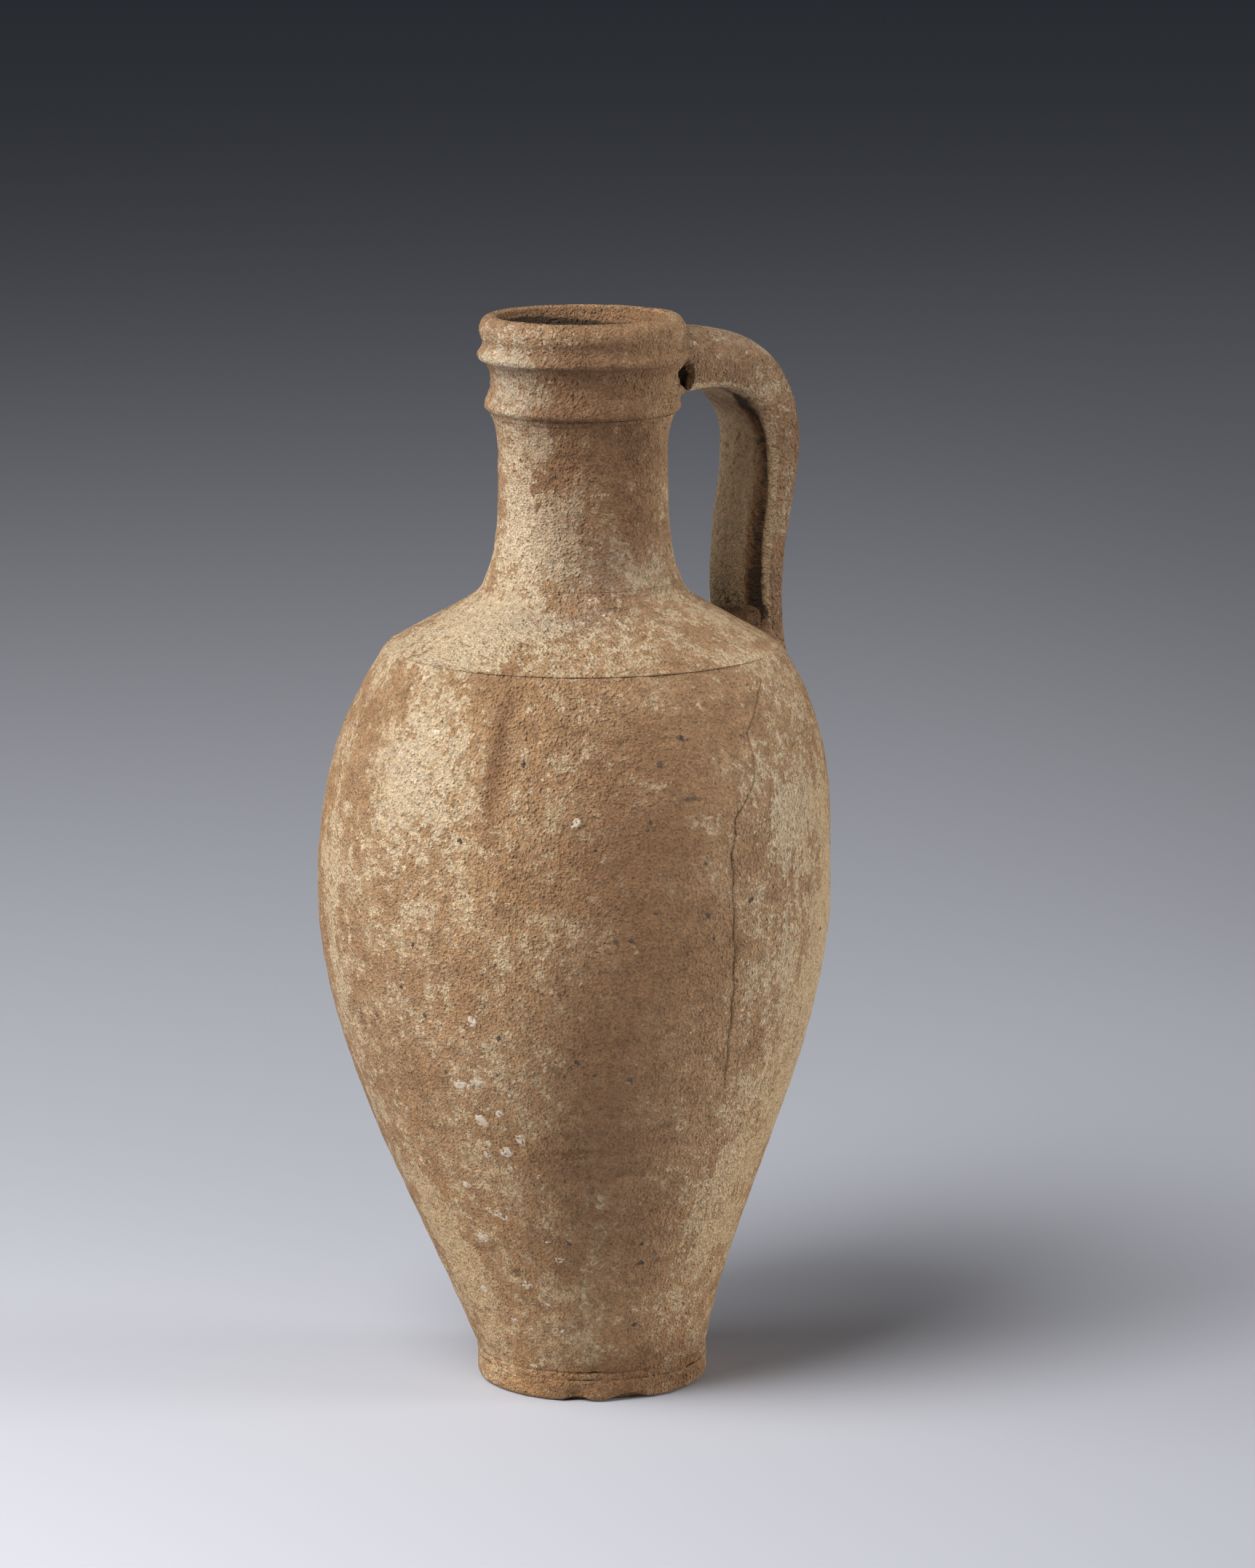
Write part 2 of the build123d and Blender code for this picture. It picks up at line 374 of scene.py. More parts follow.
class Wire:
    """One output of a node tree, with arithmetic that adds Math nodes to the tree."""

    def __init__(self, bench: Bench, socket: bpy.types.NodeSocket) -> None:
        """Hold an output and the bench that its tree is built on."""
        self.bench = bench
        self.socket = socket

    def math(self, operation: str, first: Number, second: Number = 0.0) -> Wire:
        """Add a Math node."""
        return self.bench.node("ShaderNodeMath", {0: first, 1: second}, operation=operation)

    def __add__(self, other: Number) -> Wire:
        """Add a number."""
        return self.math("ADD", self, other)

    def __radd__(self, other: Number) -> Wire:
        """Add this to a number."""
        return self.math("ADD", other, self)

    def __sub__(self, other: Number) -> Wire:
        """Take a number away."""
        return self.math("SUBTRACT", self, other)

    def __rsub__(self, other: Number) -> Wire:
        """Take this away from a number."""
        return self.math("SUBTRACT", other, self)

    def __mul__(self, other: Number) -> Wire:
        """Multiply by a number."""
        return self.math("MULTIPLY", self, other)

    def __rmul__(self, other: Number) -> Wire:
        """Multiply a number by this."""
        return self.math("MULTIPLY", other, self)

    def __truediv__(self, other: Number) -> Wire:
        """Divide by a number."""
        return self.math("DIVIDE", self, other)

    def __rtruediv__(self, other: Number) -> Wire:
        """Divide a number by this."""
        return self.math("DIVIDE", other, self)

    def __mod__(self, other: Number) -> Wire:
        """Take what is left over after division by a number."""
        return self.math("FLOORED_MODULO", self, other)

    def __rmod__(self, other: Number) -> Wire:
        """Take what is left over after division of a number by this."""
        return self.math("FLOORED_MODULO", other, self)

    def floor(self) -> Wire:
        """Round down."""
        return self.math("FLOOR", self)

    def sine(self) -> Wire:
        """Take the sine of an angle in radians."""
        return self.math("SINE", self)

    def cosine(self) -> Wire:
        """Take the cosine of an angle in radians."""
        return self.math("COSINE", self)

    def most(self, other: Number) -> Wire:
        """Take the larger of this and another value."""
        return self.math("MAXIMUM", self, other)

    def ramp(self, low: Number, high: Number) -> Wire:
        """Ease from 0 at a low mark to 1 at a high mark."""
        marks = {"Value": self, "From Min": low, "From Max": high}
        return self.bench.node("ShaderNodeMapRange", marks, interpolation_type="SMOOTHSTEP")


Number = Union[Wire, float, int]


class Bench:
    """Adds nodes to one tree and links them."""

    def __init__(self, tree: bpy.types.NodeTree) -> None:
        """Take up a tree."""
        self.tree = tree

    def node(
        self, kind: str, inputs: Optional[dict[Any, Any]] = None, output: Any = 0, **settings: Any
    ) -> Wire:
        """Add a node, with its settings first and then its sockets.

        Args:
            kind: Type name of the node.
            inputs: Values or wires by socket name or number.
            output: Name or number of the output wanted.
            settings: Properties of the node.

        Returns:
            That output.
        """
        made = self.tree.nodes.new(kind)
        for name, value in settings.items():
            setattr(made, name, value)
        for key, value in (inputs or {}).items():
            if isinstance(value, Wire):
                self.tree.links.new(value.socket, made.inputs[key])
            else:
                made.inputs[key].default_value = value
        return Wire(self, made.outputs[output])

    def end(self, kind: str, wire: Wire) -> None:
        """End the tree with an output node that a wire leads to."""
        self.tree.links.new(wire.socket, self.tree.nodes.new(kind).inputs[0])

    def also(self, wire: Wire, output: Any) -> Wire:
        """Take another output, by name or number, of the node that a wire comes from."""
        return Wire(self, wire.socket.node.outputs[output])

    def split(self, vector: Wire) -> list[Wire]:
        """Read the three numbers of a vector or a colour."""
        first = self.node("ShaderNodeSeparateXYZ", {0: vector})
        return [self.also(first, place) for place in range(3)]

    def join(self, x: Number = 0.0, y: Number = 0.0, z: Number = 0.0) -> Wire:
        """Make a vector of three numbers."""
        return self.node("ShaderNodeCombineXYZ", {0: x, 1: y, 2: z})

    def scaled(self, vector: Wire, factor: Number) -> Wire:
        """Scale a vector or a colour by one number."""
        return self.node("ShaderNodeVectorMath", {0: vector, "Scale": factor}, operation="SCALE")

    def stretch(self, where: Wire, factors: Sequence[float]) -> Wire:
        """Scale a position by a factor for each axis."""
        return self.node("ShaderNodeVectorMath", {0: where, 1: tuple(factors)}, operation="MULTIPLY")

    def noise(self, where: Wire, size: Number, detail: float, rough: float, warp: float = 0.0) -> Wire:
        """Add soft noise about one half, with its largest blotches of a size in metres."""
        form = {"Scale": 1 / size, "Detail": detail, "Roughness": rough, "Distortion": warp}
        return self.node("ShaderNodeTexNoise", {"Vector": where} | form, noise_dimensions="3D")

    def cells(self, where: Wire, size: Number) -> tuple[Wire, list[Wire]]:
        """Add a loose grid of cells: the distance from each middle, and three random numbers of each cell."""
        cell = self.node("ShaderNodeTexVoronoi", {"Vector": where, "Scale": 1 / size}, feature="F1")
        return cell, self.split(self.also(cell, "Color"))

    def dots(self, where: Wire, size: float, share: float, low: float, high: float) -> Wire:
        """Add round dots in some of the cells of a loose grid.

        Args:
            where: Position in metres.
            size: Distance between cells in metres.
            share: Share of the cells that hold a dot.
            low: Radius of the full part of a dot, as a share of the cell size.
            high: Radius where a dot ends.

        Returns:
            1 in the dots and 0 between them.
        """
        cell, (chance, swell, _) = self.cells(where, size)
        held = (share - chance).ramp(0.0, 0.02)
        return (1.0 - (cell / (swell * 0.6 + 0.5)).ramp(low, high)) * held

    def mix(self, first: Any, second: Any, share: Number, way: str = "MIX") -> Wire:
        """Mix two colours.

        Args:
            first: Colour or wire at share 0.
            second: Colour or wire at share 1.
            share: Share of the second colour.
            way: Blend mode.

        Returns:
            The mixed colour.
        """
        ends = [end if isinstance(end, Wire) else (*end, 1.0) for end in (first, second)]
        sockets = {0: share, 6: ends[0], 7: ends[1]}
        return self.node("ShaderNodeMix", sockets, output=2, data_type="RGBA", blend_type=way)


class GrowthTree:
    """Geometry tree with named inputs that turns an object's own mesh into a finished piece."""

    def __init__(self, name: str, inputs: dict[str, str]) -> None:
        """Build the tree.

        Args:
            name: Name of the tree.
            inputs: Socket type of each named input.
        """
        self.tree = bpy.data.node_groups.new(name, "GeometryNodeTree")
        self.bench = Bench(self.tree)
        self.keys: dict[str, str] = {}
        face = self.tree.interface
        face.new_socket("Geometry", in_out="INPUT", socket_type="NodeSocketGeometry")
        for label, kind in inputs.items():
            self.keys[label] = face.new_socket(label, in_out="INPUT", socket_type=kind).identifier
        face.new_socket("Geometry", in_out="OUTPUT", socket_type="NodeSocketGeometry")
        self.source = self.bench.node("NodeGroupInput")
        self.finish(self.grow())

    def given(self, label: str) -> Wire:
        """Read one of the tree's inputs by name."""
        return self.bench.also(self.source, label)

    def grow(self) -> Wire:
        """Build the tree's own part and give the geometry that it makes."""
        raise NotImplementedError

    def finish(self, geometry: Wire) -> None:
        """Realize the instances, set the material and end the tree.

        Args:
            geometry: Geometry that the tree has made.
        """
        bench = self.bench
        shaded = bench.node("GeometryNodeSetShadeSmooth", {"Geometry": geometry})
        real = bench.node("GeometryNodeRealizeInstances", {"Geometry": shaded})
        dressed = {"Geometry": real, "Material": self.given("Material")}
        bench.end("NodeGroupOutput", bench.node("GeometryNodeSetMaterial", dressed))

    def run(self, piece: bpy.types.Object, values: dict[str, Any]) -> None:
        """Run the tree on an object and keep the result as its plain mesh.

        Args:
            piece: Object whose mesh feeds the tree.
            values: Input values by name.
        """
        modifier = piece.modifiers.new(self.tree.name, "NODES")
        modifier.node_group = self.tree
        for label, value in values.items():
            modifier[self.keys[label]] = value
        scene_graph = bpy.context.evaluated_depsgraph_get()
        mesh = bpy.data.meshes.new_from_object(
            piece.evaluated_get(scene_graph), preserve_all_data_layers=True, depsgraph=scene_graph
        )
        old = piece.data
        piece.modifiers.remove(modifier)
        piece.data = mesh
        bpy.data.meshes.remove(old)
        mesh.name = piece.name


@dataclass(frozen=True)
class Marks:
    """How wide and deep the marks in a turned piece are, in millimetres, and the seed of their noise."""

    ring_pitch: float = 7.0
    ring_depth: float = 0.15
    dent_size: float = 22.0
    dent_depth: float = 0.30
    grain_size: float = 3.5
    grain_depth: float = 0.22
    pit_size: float = 5.5
    pit_depth: float = 0.45
    seed: float = 0.0

    def in_metres(self) -> dict[str, float]:
        """Give each mark by its name, with its length in metres."""
        return {name: value if name == "seed" else value * MM for name, value in asdict(self).items()}


DISC_MARKS = Marks(ring_depth=0.0, dent_size=9.0, dent_depth=0.5, grain_size=2.4, grain_depth=0.5, seed=0.3)
COIL_MARKS = Marks(ring_depth=0.0, dent_size=6.0, dent_depth=0.7, grain_size=1.8, grain_depth=0.7, seed=0.5)
BODY_MARKS = Marks(
    ring_pitch=9.0, ring_depth=0.22, dent_size=34.0, dent_depth=0.8, grain_size=3.2, grain_depth=0.28
)
COLLAR_MARKS = Marks(
    ring_pitch=2.2,
    ring_depth=0.22,
    dent_size=8.0,
    dent_depth=0.35,
    grain_size=1.8,
    grain_depth=0.24,
    pit_size=3.6,
)


class ThrowingWheel(GrowthTree):
    """Turns a profile about its drifting axis and leaves the marks of fingers, sand and wear on it."""

    sway_size: float = 40.0 * MM
    sway_turns: float = 2.2
    break_size: float = 9.0 * MM
    pitted_share: float = 0.16

    def __init__(self) -> None:
        """Name the counts, the marks and the material as inputs."""
        inputs = {label: "NodeSocketInt" for label in ("points", "rows", "columns")}
        inputs |= {mark.name: "NodeSocketFloat" for mark in fields(Marks)}
        super().__init__("throwing_wheel", inputs | {"Material": "NodeSocketMaterial"})

    def grow(self) -> Wire:
        """Build the turned grid and its surface marks.

        Returns:
            The turned wall.
        """
        bench = self.bench
        rows, columns = self.given("rows"), self.given("columns")
        grid = bench.node("GeometryNodeMeshGrid", {"Vertices X": columns + 1, "Vertices Y": rows})
        index = bench.node("GeometryNodeInputIndex")
        angle = (index / rows).floor() / columns * math.tau
        profile = {
            "Geometry": self.given("Geometry"),
            "Value": bench.node("GeometryNodeInputPosition"),
            "Index": (index % rows) % self.given("points"),
        }
        read = bench.node("GeometryNodeSampleIndex", profile, data_type="FLOAT_VECTOR", domain="POINT")
        radius, drift, level = bench.split(read)
        place = bench.join(drift + radius * angle.cosine(), radius * angle.sine(), level)
        turned = bench.node("GeometryNodeSetPosition", {"Geometry": grid, "Position": place})
        closed = bench.node("GeometryNodeMergeByDistance", {"Geometry": turned, "Distance": 2e-6})
        offset, pit = self.marks()
        worn = bench.node("GeometryNodeSetPosition", {"Geometry": closed, "Offset": offset})
        pitted = {"Geometry": worn, "Name": PIT_LAYER, "Value": pit}
        return bench.node("GeometryNodeStoreNamedAttribute", pitted, data_type="FLOAT", domain="POINT")

    def marks(self) -> tuple[Wire, Wire]:
        """Work out how far each point sinks.

        Returns:
            The offset of each point, and how deep in a pit it is.
        """
        bench = self.bench
        here = bench.node("GeometryNodeInputPosition")
        seed = bench.join(self.given("seed"))
        moved = bench.node("ShaderNodeVectorMath", {0: here, 1: seed}, operation="ADD")
        turns = bench.split(here)[2] / self.given("ring_pitch")
        turns = turns + bench.noise(moved, self.sway_size, 2, 0.5) * self.sway_turns
        ring = (turns * math.tau).sine() * 0.5 + 0.5
        ring = ring * bench.noise(bench.stretch(moved, (0.2, 0.2, 1.0)), self.break_size, 2, 0.5)
        dent = bench.noise(moved, self.given("dent_size"), 2, 0.5)
        grain = bench.noise(moved, self.given("grain_size"), 3, 0.6)
        cell, (chance, _, _) = bench.cells(moved, self.given("pit_size"))
        pit = (1.0 - cell.ramp(0.1, 0.45)) * (self.pitted_share - chance).ramp(0.0, 0.12)
        dent_depth, grain_depth = self.given("dent_depth"), self.given("grain_depth")
        sink = ring * self.given("ring_depth") + dent * dent_depth + grain * grain_depth
        sink = sink + pit * self.given("pit_depth") - (dent_depth + grain_depth) * 0.45
        return bench.scaled(bench.node("GeometryNodeInputNormal"), 0.0 - sink), pit


class Inclusions(GrowthTree):
    """Sets a rough lump on each point of a mesh, flat against the face that the point lies on."""

    crumb_size: float = MM / 1.5
    shortest: float = 0.7
    longest: float = 1.35

    def __init__(self) -> None:
        """Name the lumps' form, seed and material as inputs."""
        inputs = {"Flatness": "NodeSocketFloat", "Roughness": "NodeSocketFloat", "Seed": "NodeSocketInt"}
        super().__init__("inclusions", inputs | {"Material": "NodeSocketMaterial"})

    def chance(self, low: float, high: float, seed: Wire) -> Wire:
        """Draw a random number for each lump between two limits."""
        limits = {2: low, 3: high, "Seed": seed}
        return self.bench.node("FunctionNodeRandomValue", limits, output=1, data_type="FLOAT")

    def grow(self) -> Wire:
        """Build the scatter.

        Returns:
            The lumps.
        """
        bench = self.bench
        seed = self.given("Seed")
        facing = bench.node("GeometryNodeInputNamedAttribute", {"Name": "facing"}, data_type="FLOAT_VECTOR")
        size = bench.node("GeometryNodeInputNamedAttribute", {"Name": "size"}, data_type="FLOAT")
        turn = {"Rotation": bench.join(z=self.chance(0.0, math.tau, seed)), "Vector": facing}
        longer = self.chance(self.shortest, self.longest, seed + 7)
        scatter = {
            "Points": self.given("Geometry"),
            "Instance": bench.node("GeometryNodeMeshIcoSphere", {"Radius": 1.0, "Subdivisions": 3}),
            "Rotation": bench.node("FunctionNodeAlignRotationToVector", turn, axis="Z"),
            "Scale": bench.join(size * longer, size / longer, size * self.given("Flatness")),
        }
        lumps = bench.node("GeometryNodeInstanceOnPoints", scatter)
        real = bench.node("GeometryNodeRealizeInstances", {"Geometry": lumps})
        shove = bench.noise(bench.node("GeometryNodeInputPosition"), self.crumb_size, 2, 0.5) - 0.5
        offset = bench.scaled(bench.node("GeometryNodeInputNormal"), shove * self.given("Roughness"))
        return bench.node("GeometryNodeSetPosition", {"Geometry": real, "Offset": offset})


@dataclass(frozen=True)
class Finish:
    """What every finish shares: a name and the making of its material."""

    name: str

    def sockets(self, bench: Bench, where: Wire) -> dict[str, Any]:
        """Give the surface's values or wires by socket name, for a place on the object in metres."""
        raise NotImplementedError

    def material(self) -> bpy.types.Material:
        """Build the material.

        Returns:
            The material.
        """
        made = bpy.data.materials.new(self.name)
        made.use_nodes = True
        made.node_tree.nodes.clear()
        bench = Bench(made.node_tree)
        sockets = self.sockets(bench, bench.node("ShaderNodeTexCoord", output="Object"))
        bench.end("ShaderNodeOutputMaterial", bench.node("ShaderNodeBsdfPrincipled", sockets))
        return made


@dataclass(frozen=True)
class ClayFinish(Finish):
    """Coarse fired clay under a worn cream slip, with the stains that burial left, and painted shade in the
    grit's hollows and wherever the painted layers hold it.
    """

    body: Colour = (0.465, 0.280, 0.150)
    body_dark: Colour = (0.335, 0.194, 0.100)
    gold: Colour = (0.600, 0.405, 0.230)
    cream: Colour = (0.615, 0.445, 0.264)
    cream_pale: Colour = (0.715, 0.575, 0.398)
    cream_warm: Colour = (0.690, 0.465, 0.242)
    ochre: Colour = (0.530, 0.290, 0.128)
    brown: Colour = (0.58, 0.52, 0.49)
    film: Colour = (0.370, 0.322, 0.275)
    soil_and_shade: Colour = (0.070, 0.046, 0.029)
    grit: Colour = (0.050, 0.042, 0.038)
    lime: Colour = (0.620, 0.560, 0.490)
    slip_size: float = 4.4
    fleck_size: float = 1.9
    crumb_size: float = 0.8
    cloud_size: float = 18.0
    tone_size: float = 7.0
    grit_size: float = 2.0
    sand_size: float = 0.7
    gravel_size: float = 1.2
    pore_size: float = 1.25
    pore_share: float = 0.42
    speck_size: float = 4.2
    speck_share: float = 0.30
    fine_speck_size: float = 1.9
    fine_speck_share: float = 0.10
    lime_size: float = 6.5
    lime_share: float = 0.08
    hole_size: float = 2.3
    hole_share: float = 0.32
    grit_depth: float = 2.0
    sand_depth: float = 1.75
    gravel_depth: float = 0.95
    slip_depth: float = 0.07
    hole_depth: float = 0.35
    pore_depth: float = 0.15
    roughness: float = 0.88
    shine: float = 0.25

    def sockets(self, bench: Bench, where: Wire) -> dict[str, Any]:
        """Lay the slip, the stains, the grime and the painted shade over the clay.

        Args:
            bench: Bench of the material's tree.
            where: Place on the object in metres.

        Returns:
            Values or wires by socket name.
        """
        slip, stain_and_shade, soil_and_shade, film, ochre, spot, crack, wipe, pit = (
            bench.node("ShaderNodeAttribute", output="Fac", attribute_name=layer)
            for layer in (*(coat.value for coat in Coat), PIT_LAYER)
        )
        blotch = bench.noise(where, self.slip_size * MM, 6, 0.70, 0.30)
        wiped = bench.noise(bench.stretch(where, (1.0, 1.0, 0.32)), self.slip_size * MM, 6, 0.70)
        blotch = blotch + (wiped - blotch) * wipe
        fleck = bench.noise(where, self.fleck_size * MM, 3, 0.6)
        cloud = bench.noise(where, self.cloud_size * MM, 3, 0.55)
        tone = bench.noise(bench.stretch(where, (1.0, 1.0, 1.4)), self.tone_size * MM, 5, 0.65)
        grit = bench.noise(where, self.grit_size * MM, 4, 0.72)
        sand = bench.noise(where, self.sand_size * MM, 2, 0.65)
        crumb = bench.cells(where, self.crumb_size * MM)[1][0]

        base = bench.mix(self.body_dark, self.body, (cloud * 0.3 + tone * 0.7).ramp(0.30, 0.68))
        base = bench.mix(base, self.ochre, ochre * tone.ramp(0.30, 0.60))
        thin = (blotch * 0.55 + cloud * 0.45).ramp(0.56 - slip * 0.26, 0.72 - slip * 0.26)
        cover = blotch * 0.50 + cloud * 0.25 + fleck * 0.20 + crumb * 0.05
        edge = 0.640 - slip * 0.180 - slip.ramp(0.72, 1.0) * 0.055
        held = cover.ramp(edge - 0.005, edge + 0.009)
        pallor = (fleck * 0.6 + crumb * 0.4 + slip * 0.5).ramp(0.68, 1.08)
        cream = bench.mix(self.cream, self.cream_pale, pallor)
        cream = bench.mix(cream, self.cream_warm, ochre * 0.85)
        pore = bench.dots(where, self.pore_size * MM, self.pore_share, 0.12, 0.30)
        colour = bench.mix(base, self.gold, thin * 0.42)
        colour = bench.mix(colour, cream, held * 0.95)
        colour = bench.mix(colour, self.body_dark, pore * 0.65)
        colour = bench.mix(colour, self.film, film * blotch.ramp(0.30, 0.60))
        colour = bench.mix(colour, self.brown, (stain_and_shade * (tone * 0.8 + 0.6)).ramp(0.0, 1.0), "MULTIPLY")
        # Painted shade: the low parts of the sand and grit, which the bump also sinks, are darker in the
        # colour.
        shade = sand.ramp(0.30, 0.72) * 0.42 + grit.ramp(0.30, 0.70) * 0.32 + 0.62
        colour = bench.scaled(colour, shade)

        hole = bench.dots(where, self.hole_size * MM, self.hole_share, 0.05, 0.22)
        speck = bench.dots(where, self.speck_size * MM, self.speck_share, 0.045, 0.075)
        fine = bench.dots(where, self.fine_speck_size * MM, self.fine_speck_share, 0.05, 0.10) * 0.8
        flat = bench.stretch(where, (1.0, 1.0, 0.8))
        pale = bench.dots(flat, self.lime_size * MM, self.lime_share, 0.04, 0.08)
        # This mask follows the earth layer, so it lays painted shade as well as grime.
        dirt_and_shade = (soil_and_shade + (blotch - 0.5) * 0.9 + (fleck - 0.5) * 0.5).ramp(0.40, 0.75)
        for tint, share in (
            (self.soil_and_shade, hole * 0.58),
            (self.grit, speck.most(fine) * 0.9),
            (self.lime, pale * 0.85),
            (self.soil_and_shade, pit.ramp(0.5, 1.0) * 0.35),
            (self.grit, spot.ramp(0.25, 0.7) * 0.6),
            (self.soil_and_shade, dirt_and_shade * soil_and_shade.ramp(0.02, 0.2)),
            (self.soil_and_shade, crack),
        ):
            colour = bench.mix(colour, tint, share)

        gravel = bench.dots(where, self.gravel_size * MM, 0.55, 0.0, 0.60)
        relief = grit * self.grit_depth + sand * self.sand_depth + gravel * self.gravel_depth
        relief = relief + held * self.slip_depth - hole * self.hole_depth - pore * self.pore_depth
        return {
            "Base Color": colour,
            "Roughness": self.roughness - dirt_and_shade * 0.03 + (0.5 - held) * 0.04,
            "Normal": bench.node("ShaderNodeBump", {"Height": relief, "Strength": 1.0, "Distance": MM}),
            "Specular IOR Level": self.shine,
        }


@dataclass(frozen=True)
class PlainFinish(Finish):
    """One even colour with a soft mottle."""

    colour: Colour
    dark: Colour
    mottle_size: float
    roughness: float = 0.9

    def sockets(self, bench: Bench, where: Wire) -> dict[str, Any]:
        """Mottle the colour and give the surface's sockets by name."""
        mottle = bench.noise(where, self.mottle_size * MM, 4, 0.6).ramp(0.38, 0.60)
        return {"Base Color": bench.mix(self.dark, self.colour, mottle), "Roughness": self.roughness}


@dataclass(frozen=True)
class PaperFinish(Finish):
    """Pale paper with a painted pool of light: it darkens away from its brightest place, and a little more to
    the right.
    """

    near: Colour
    middle: Colour
    far: Colour
    brightest: tuple[float, float, float]
    right: tuple[float, float] = (0.839, -0.545)
    dimming: float = 0.22
    roughness: float = 0.95

    def sockets(self, bench: Bench, where: Wire) -> dict[str, Any]:
        """Paint the fall-off of light: darken the paper with the distance.

        Args:
            bench: Bench of the material's tree.
            where: Place on the paper in metres.

        Returns:
            Values or wires by socket name.
        """
        ends = {0: where, 1: self.brightest}
        reach = bench.node("ShaderNodeVectorMath", ends, output="Value", operation="DISTANCE")
        colour = bench.mix(self.near, self.middle, reach.ramp(0.05, 0.60))
        colour = bench.mix(colour, self.far, reach.ramp(1.2, 5.0))
        x, y, _ = bench.split(where)
        aside = (x * self.right[0] + y * self.right[1]).ramp(0.08, 0.45)
        dim = 1 - aside * reach.ramp(0.70, 1.1) * (1 - reach.ramp(1.6, 3.2)) * self.dimming
        return {"Base Color": bench.scaled(colour, dim), "Roughness": self.roughness}


@dataclass(frozen=True)
class Patch:
    """A soft oval place on the outside, by half its height and width, and the amount that it holds."""

    level: float
    bearing: float
    tall: float
    wide: float
    amount: float = 1.0


class Skin:
    """Vertices of a finished mesh as arrays, for sculpting and painting."""

    def __init__(self, mesh: bpy.types.Mesh) -> None:
        """Read a mesh.

        Args:
            mesh: Mesh of the piece.
        """
        self.mesh = mesh
        self.at = self.read("co") / MM
        self.normal = self.read("normal")
        self.layers = {coat: np.zeros(len(self.at)) for coat in Coat}
        self.measure()

    def read(self, name: str) -> np.ndarray:
        """Read a vector of every vertex.

        Args:
            name: Name of the vertices' property.

        Returns:
            One vector a row.
        """
        values = np.empty(len(self.mesh.vertices) * 3)
        self.mesh.vertices.foreach_get(name, values)
        return values.reshape(-1, 3)

    def measure(self) -> None:
        """Work out each vertex's level, radius and bearing about the jug's axis."""
        self.level = self.at[:, 2]
        across = self.at[:, 0] - FORM.axis(self.level)
        self.radius = np.hypot(across, self.at[:, 1])
        self.bearing = np.degrees(np.arctan2(self.at[:, 1], across))
        self.outside = self.radius > FORM.radius(self.level) - OUTER_LAYER

    def away(self, bearing: float) -> Line:
        """Measure how far round each vertex is from a bearing, between -180 and 180 degrees."""
        return (self.bearing - bearing + 180.0) % 360.0 - 180.0

    def weigh(self, patch: Patch) -> Line:
        """Work out how much of a patch each vertex holds.

        Args:
            patch: Patch on the outside.

        Returns:
            The whole amount in the patch's middle, and less further out.
        """
        round_way = np.radians(self.away(patch.bearing)) * self.radius
        reach = ((self.level - patch.level) / patch.tall) ** 2 + (round_way / patch.wide) ** 2
        return patch.amount * (np.exp(-reach) * self.outside)

    def cover(self, slip: Line | float) -> None:
        """Paint the slip and then the washes of every coat.

        Args:
            slip: Share of slip before the washes.
        """
        self.layers[Coat.SLIP] += slip
        for coat, patches in WASHES.items():
            for patch in patches:
                self.layers[coat] += self.weigh(patch)

    def sink(self, depth: Line) -> None:
        """Push each vertex in along its normal, by a depth of its own."""
        self.at -= self.normal * depth[:, None]

    def write(self) -> None:
        """Write the positions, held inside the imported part's box, and the painted layers."""
        low, high = (np.array(corner) / MM for corner in CAD_BOUNDS)
        self.at = np.clip(self.at, low, high)
        self.mesh.vertices.foreach_set("co", (self.at * MM).ravel())
        for coat, values in self.layers.items():
            layer = self.mesh.attributes.new(coat.value, "FLOAT", "POINT")
            layer.data.foreach_set("value", np.clip(values, 0.0, 1.0).astype(np.float32))
        self.mesh.update()
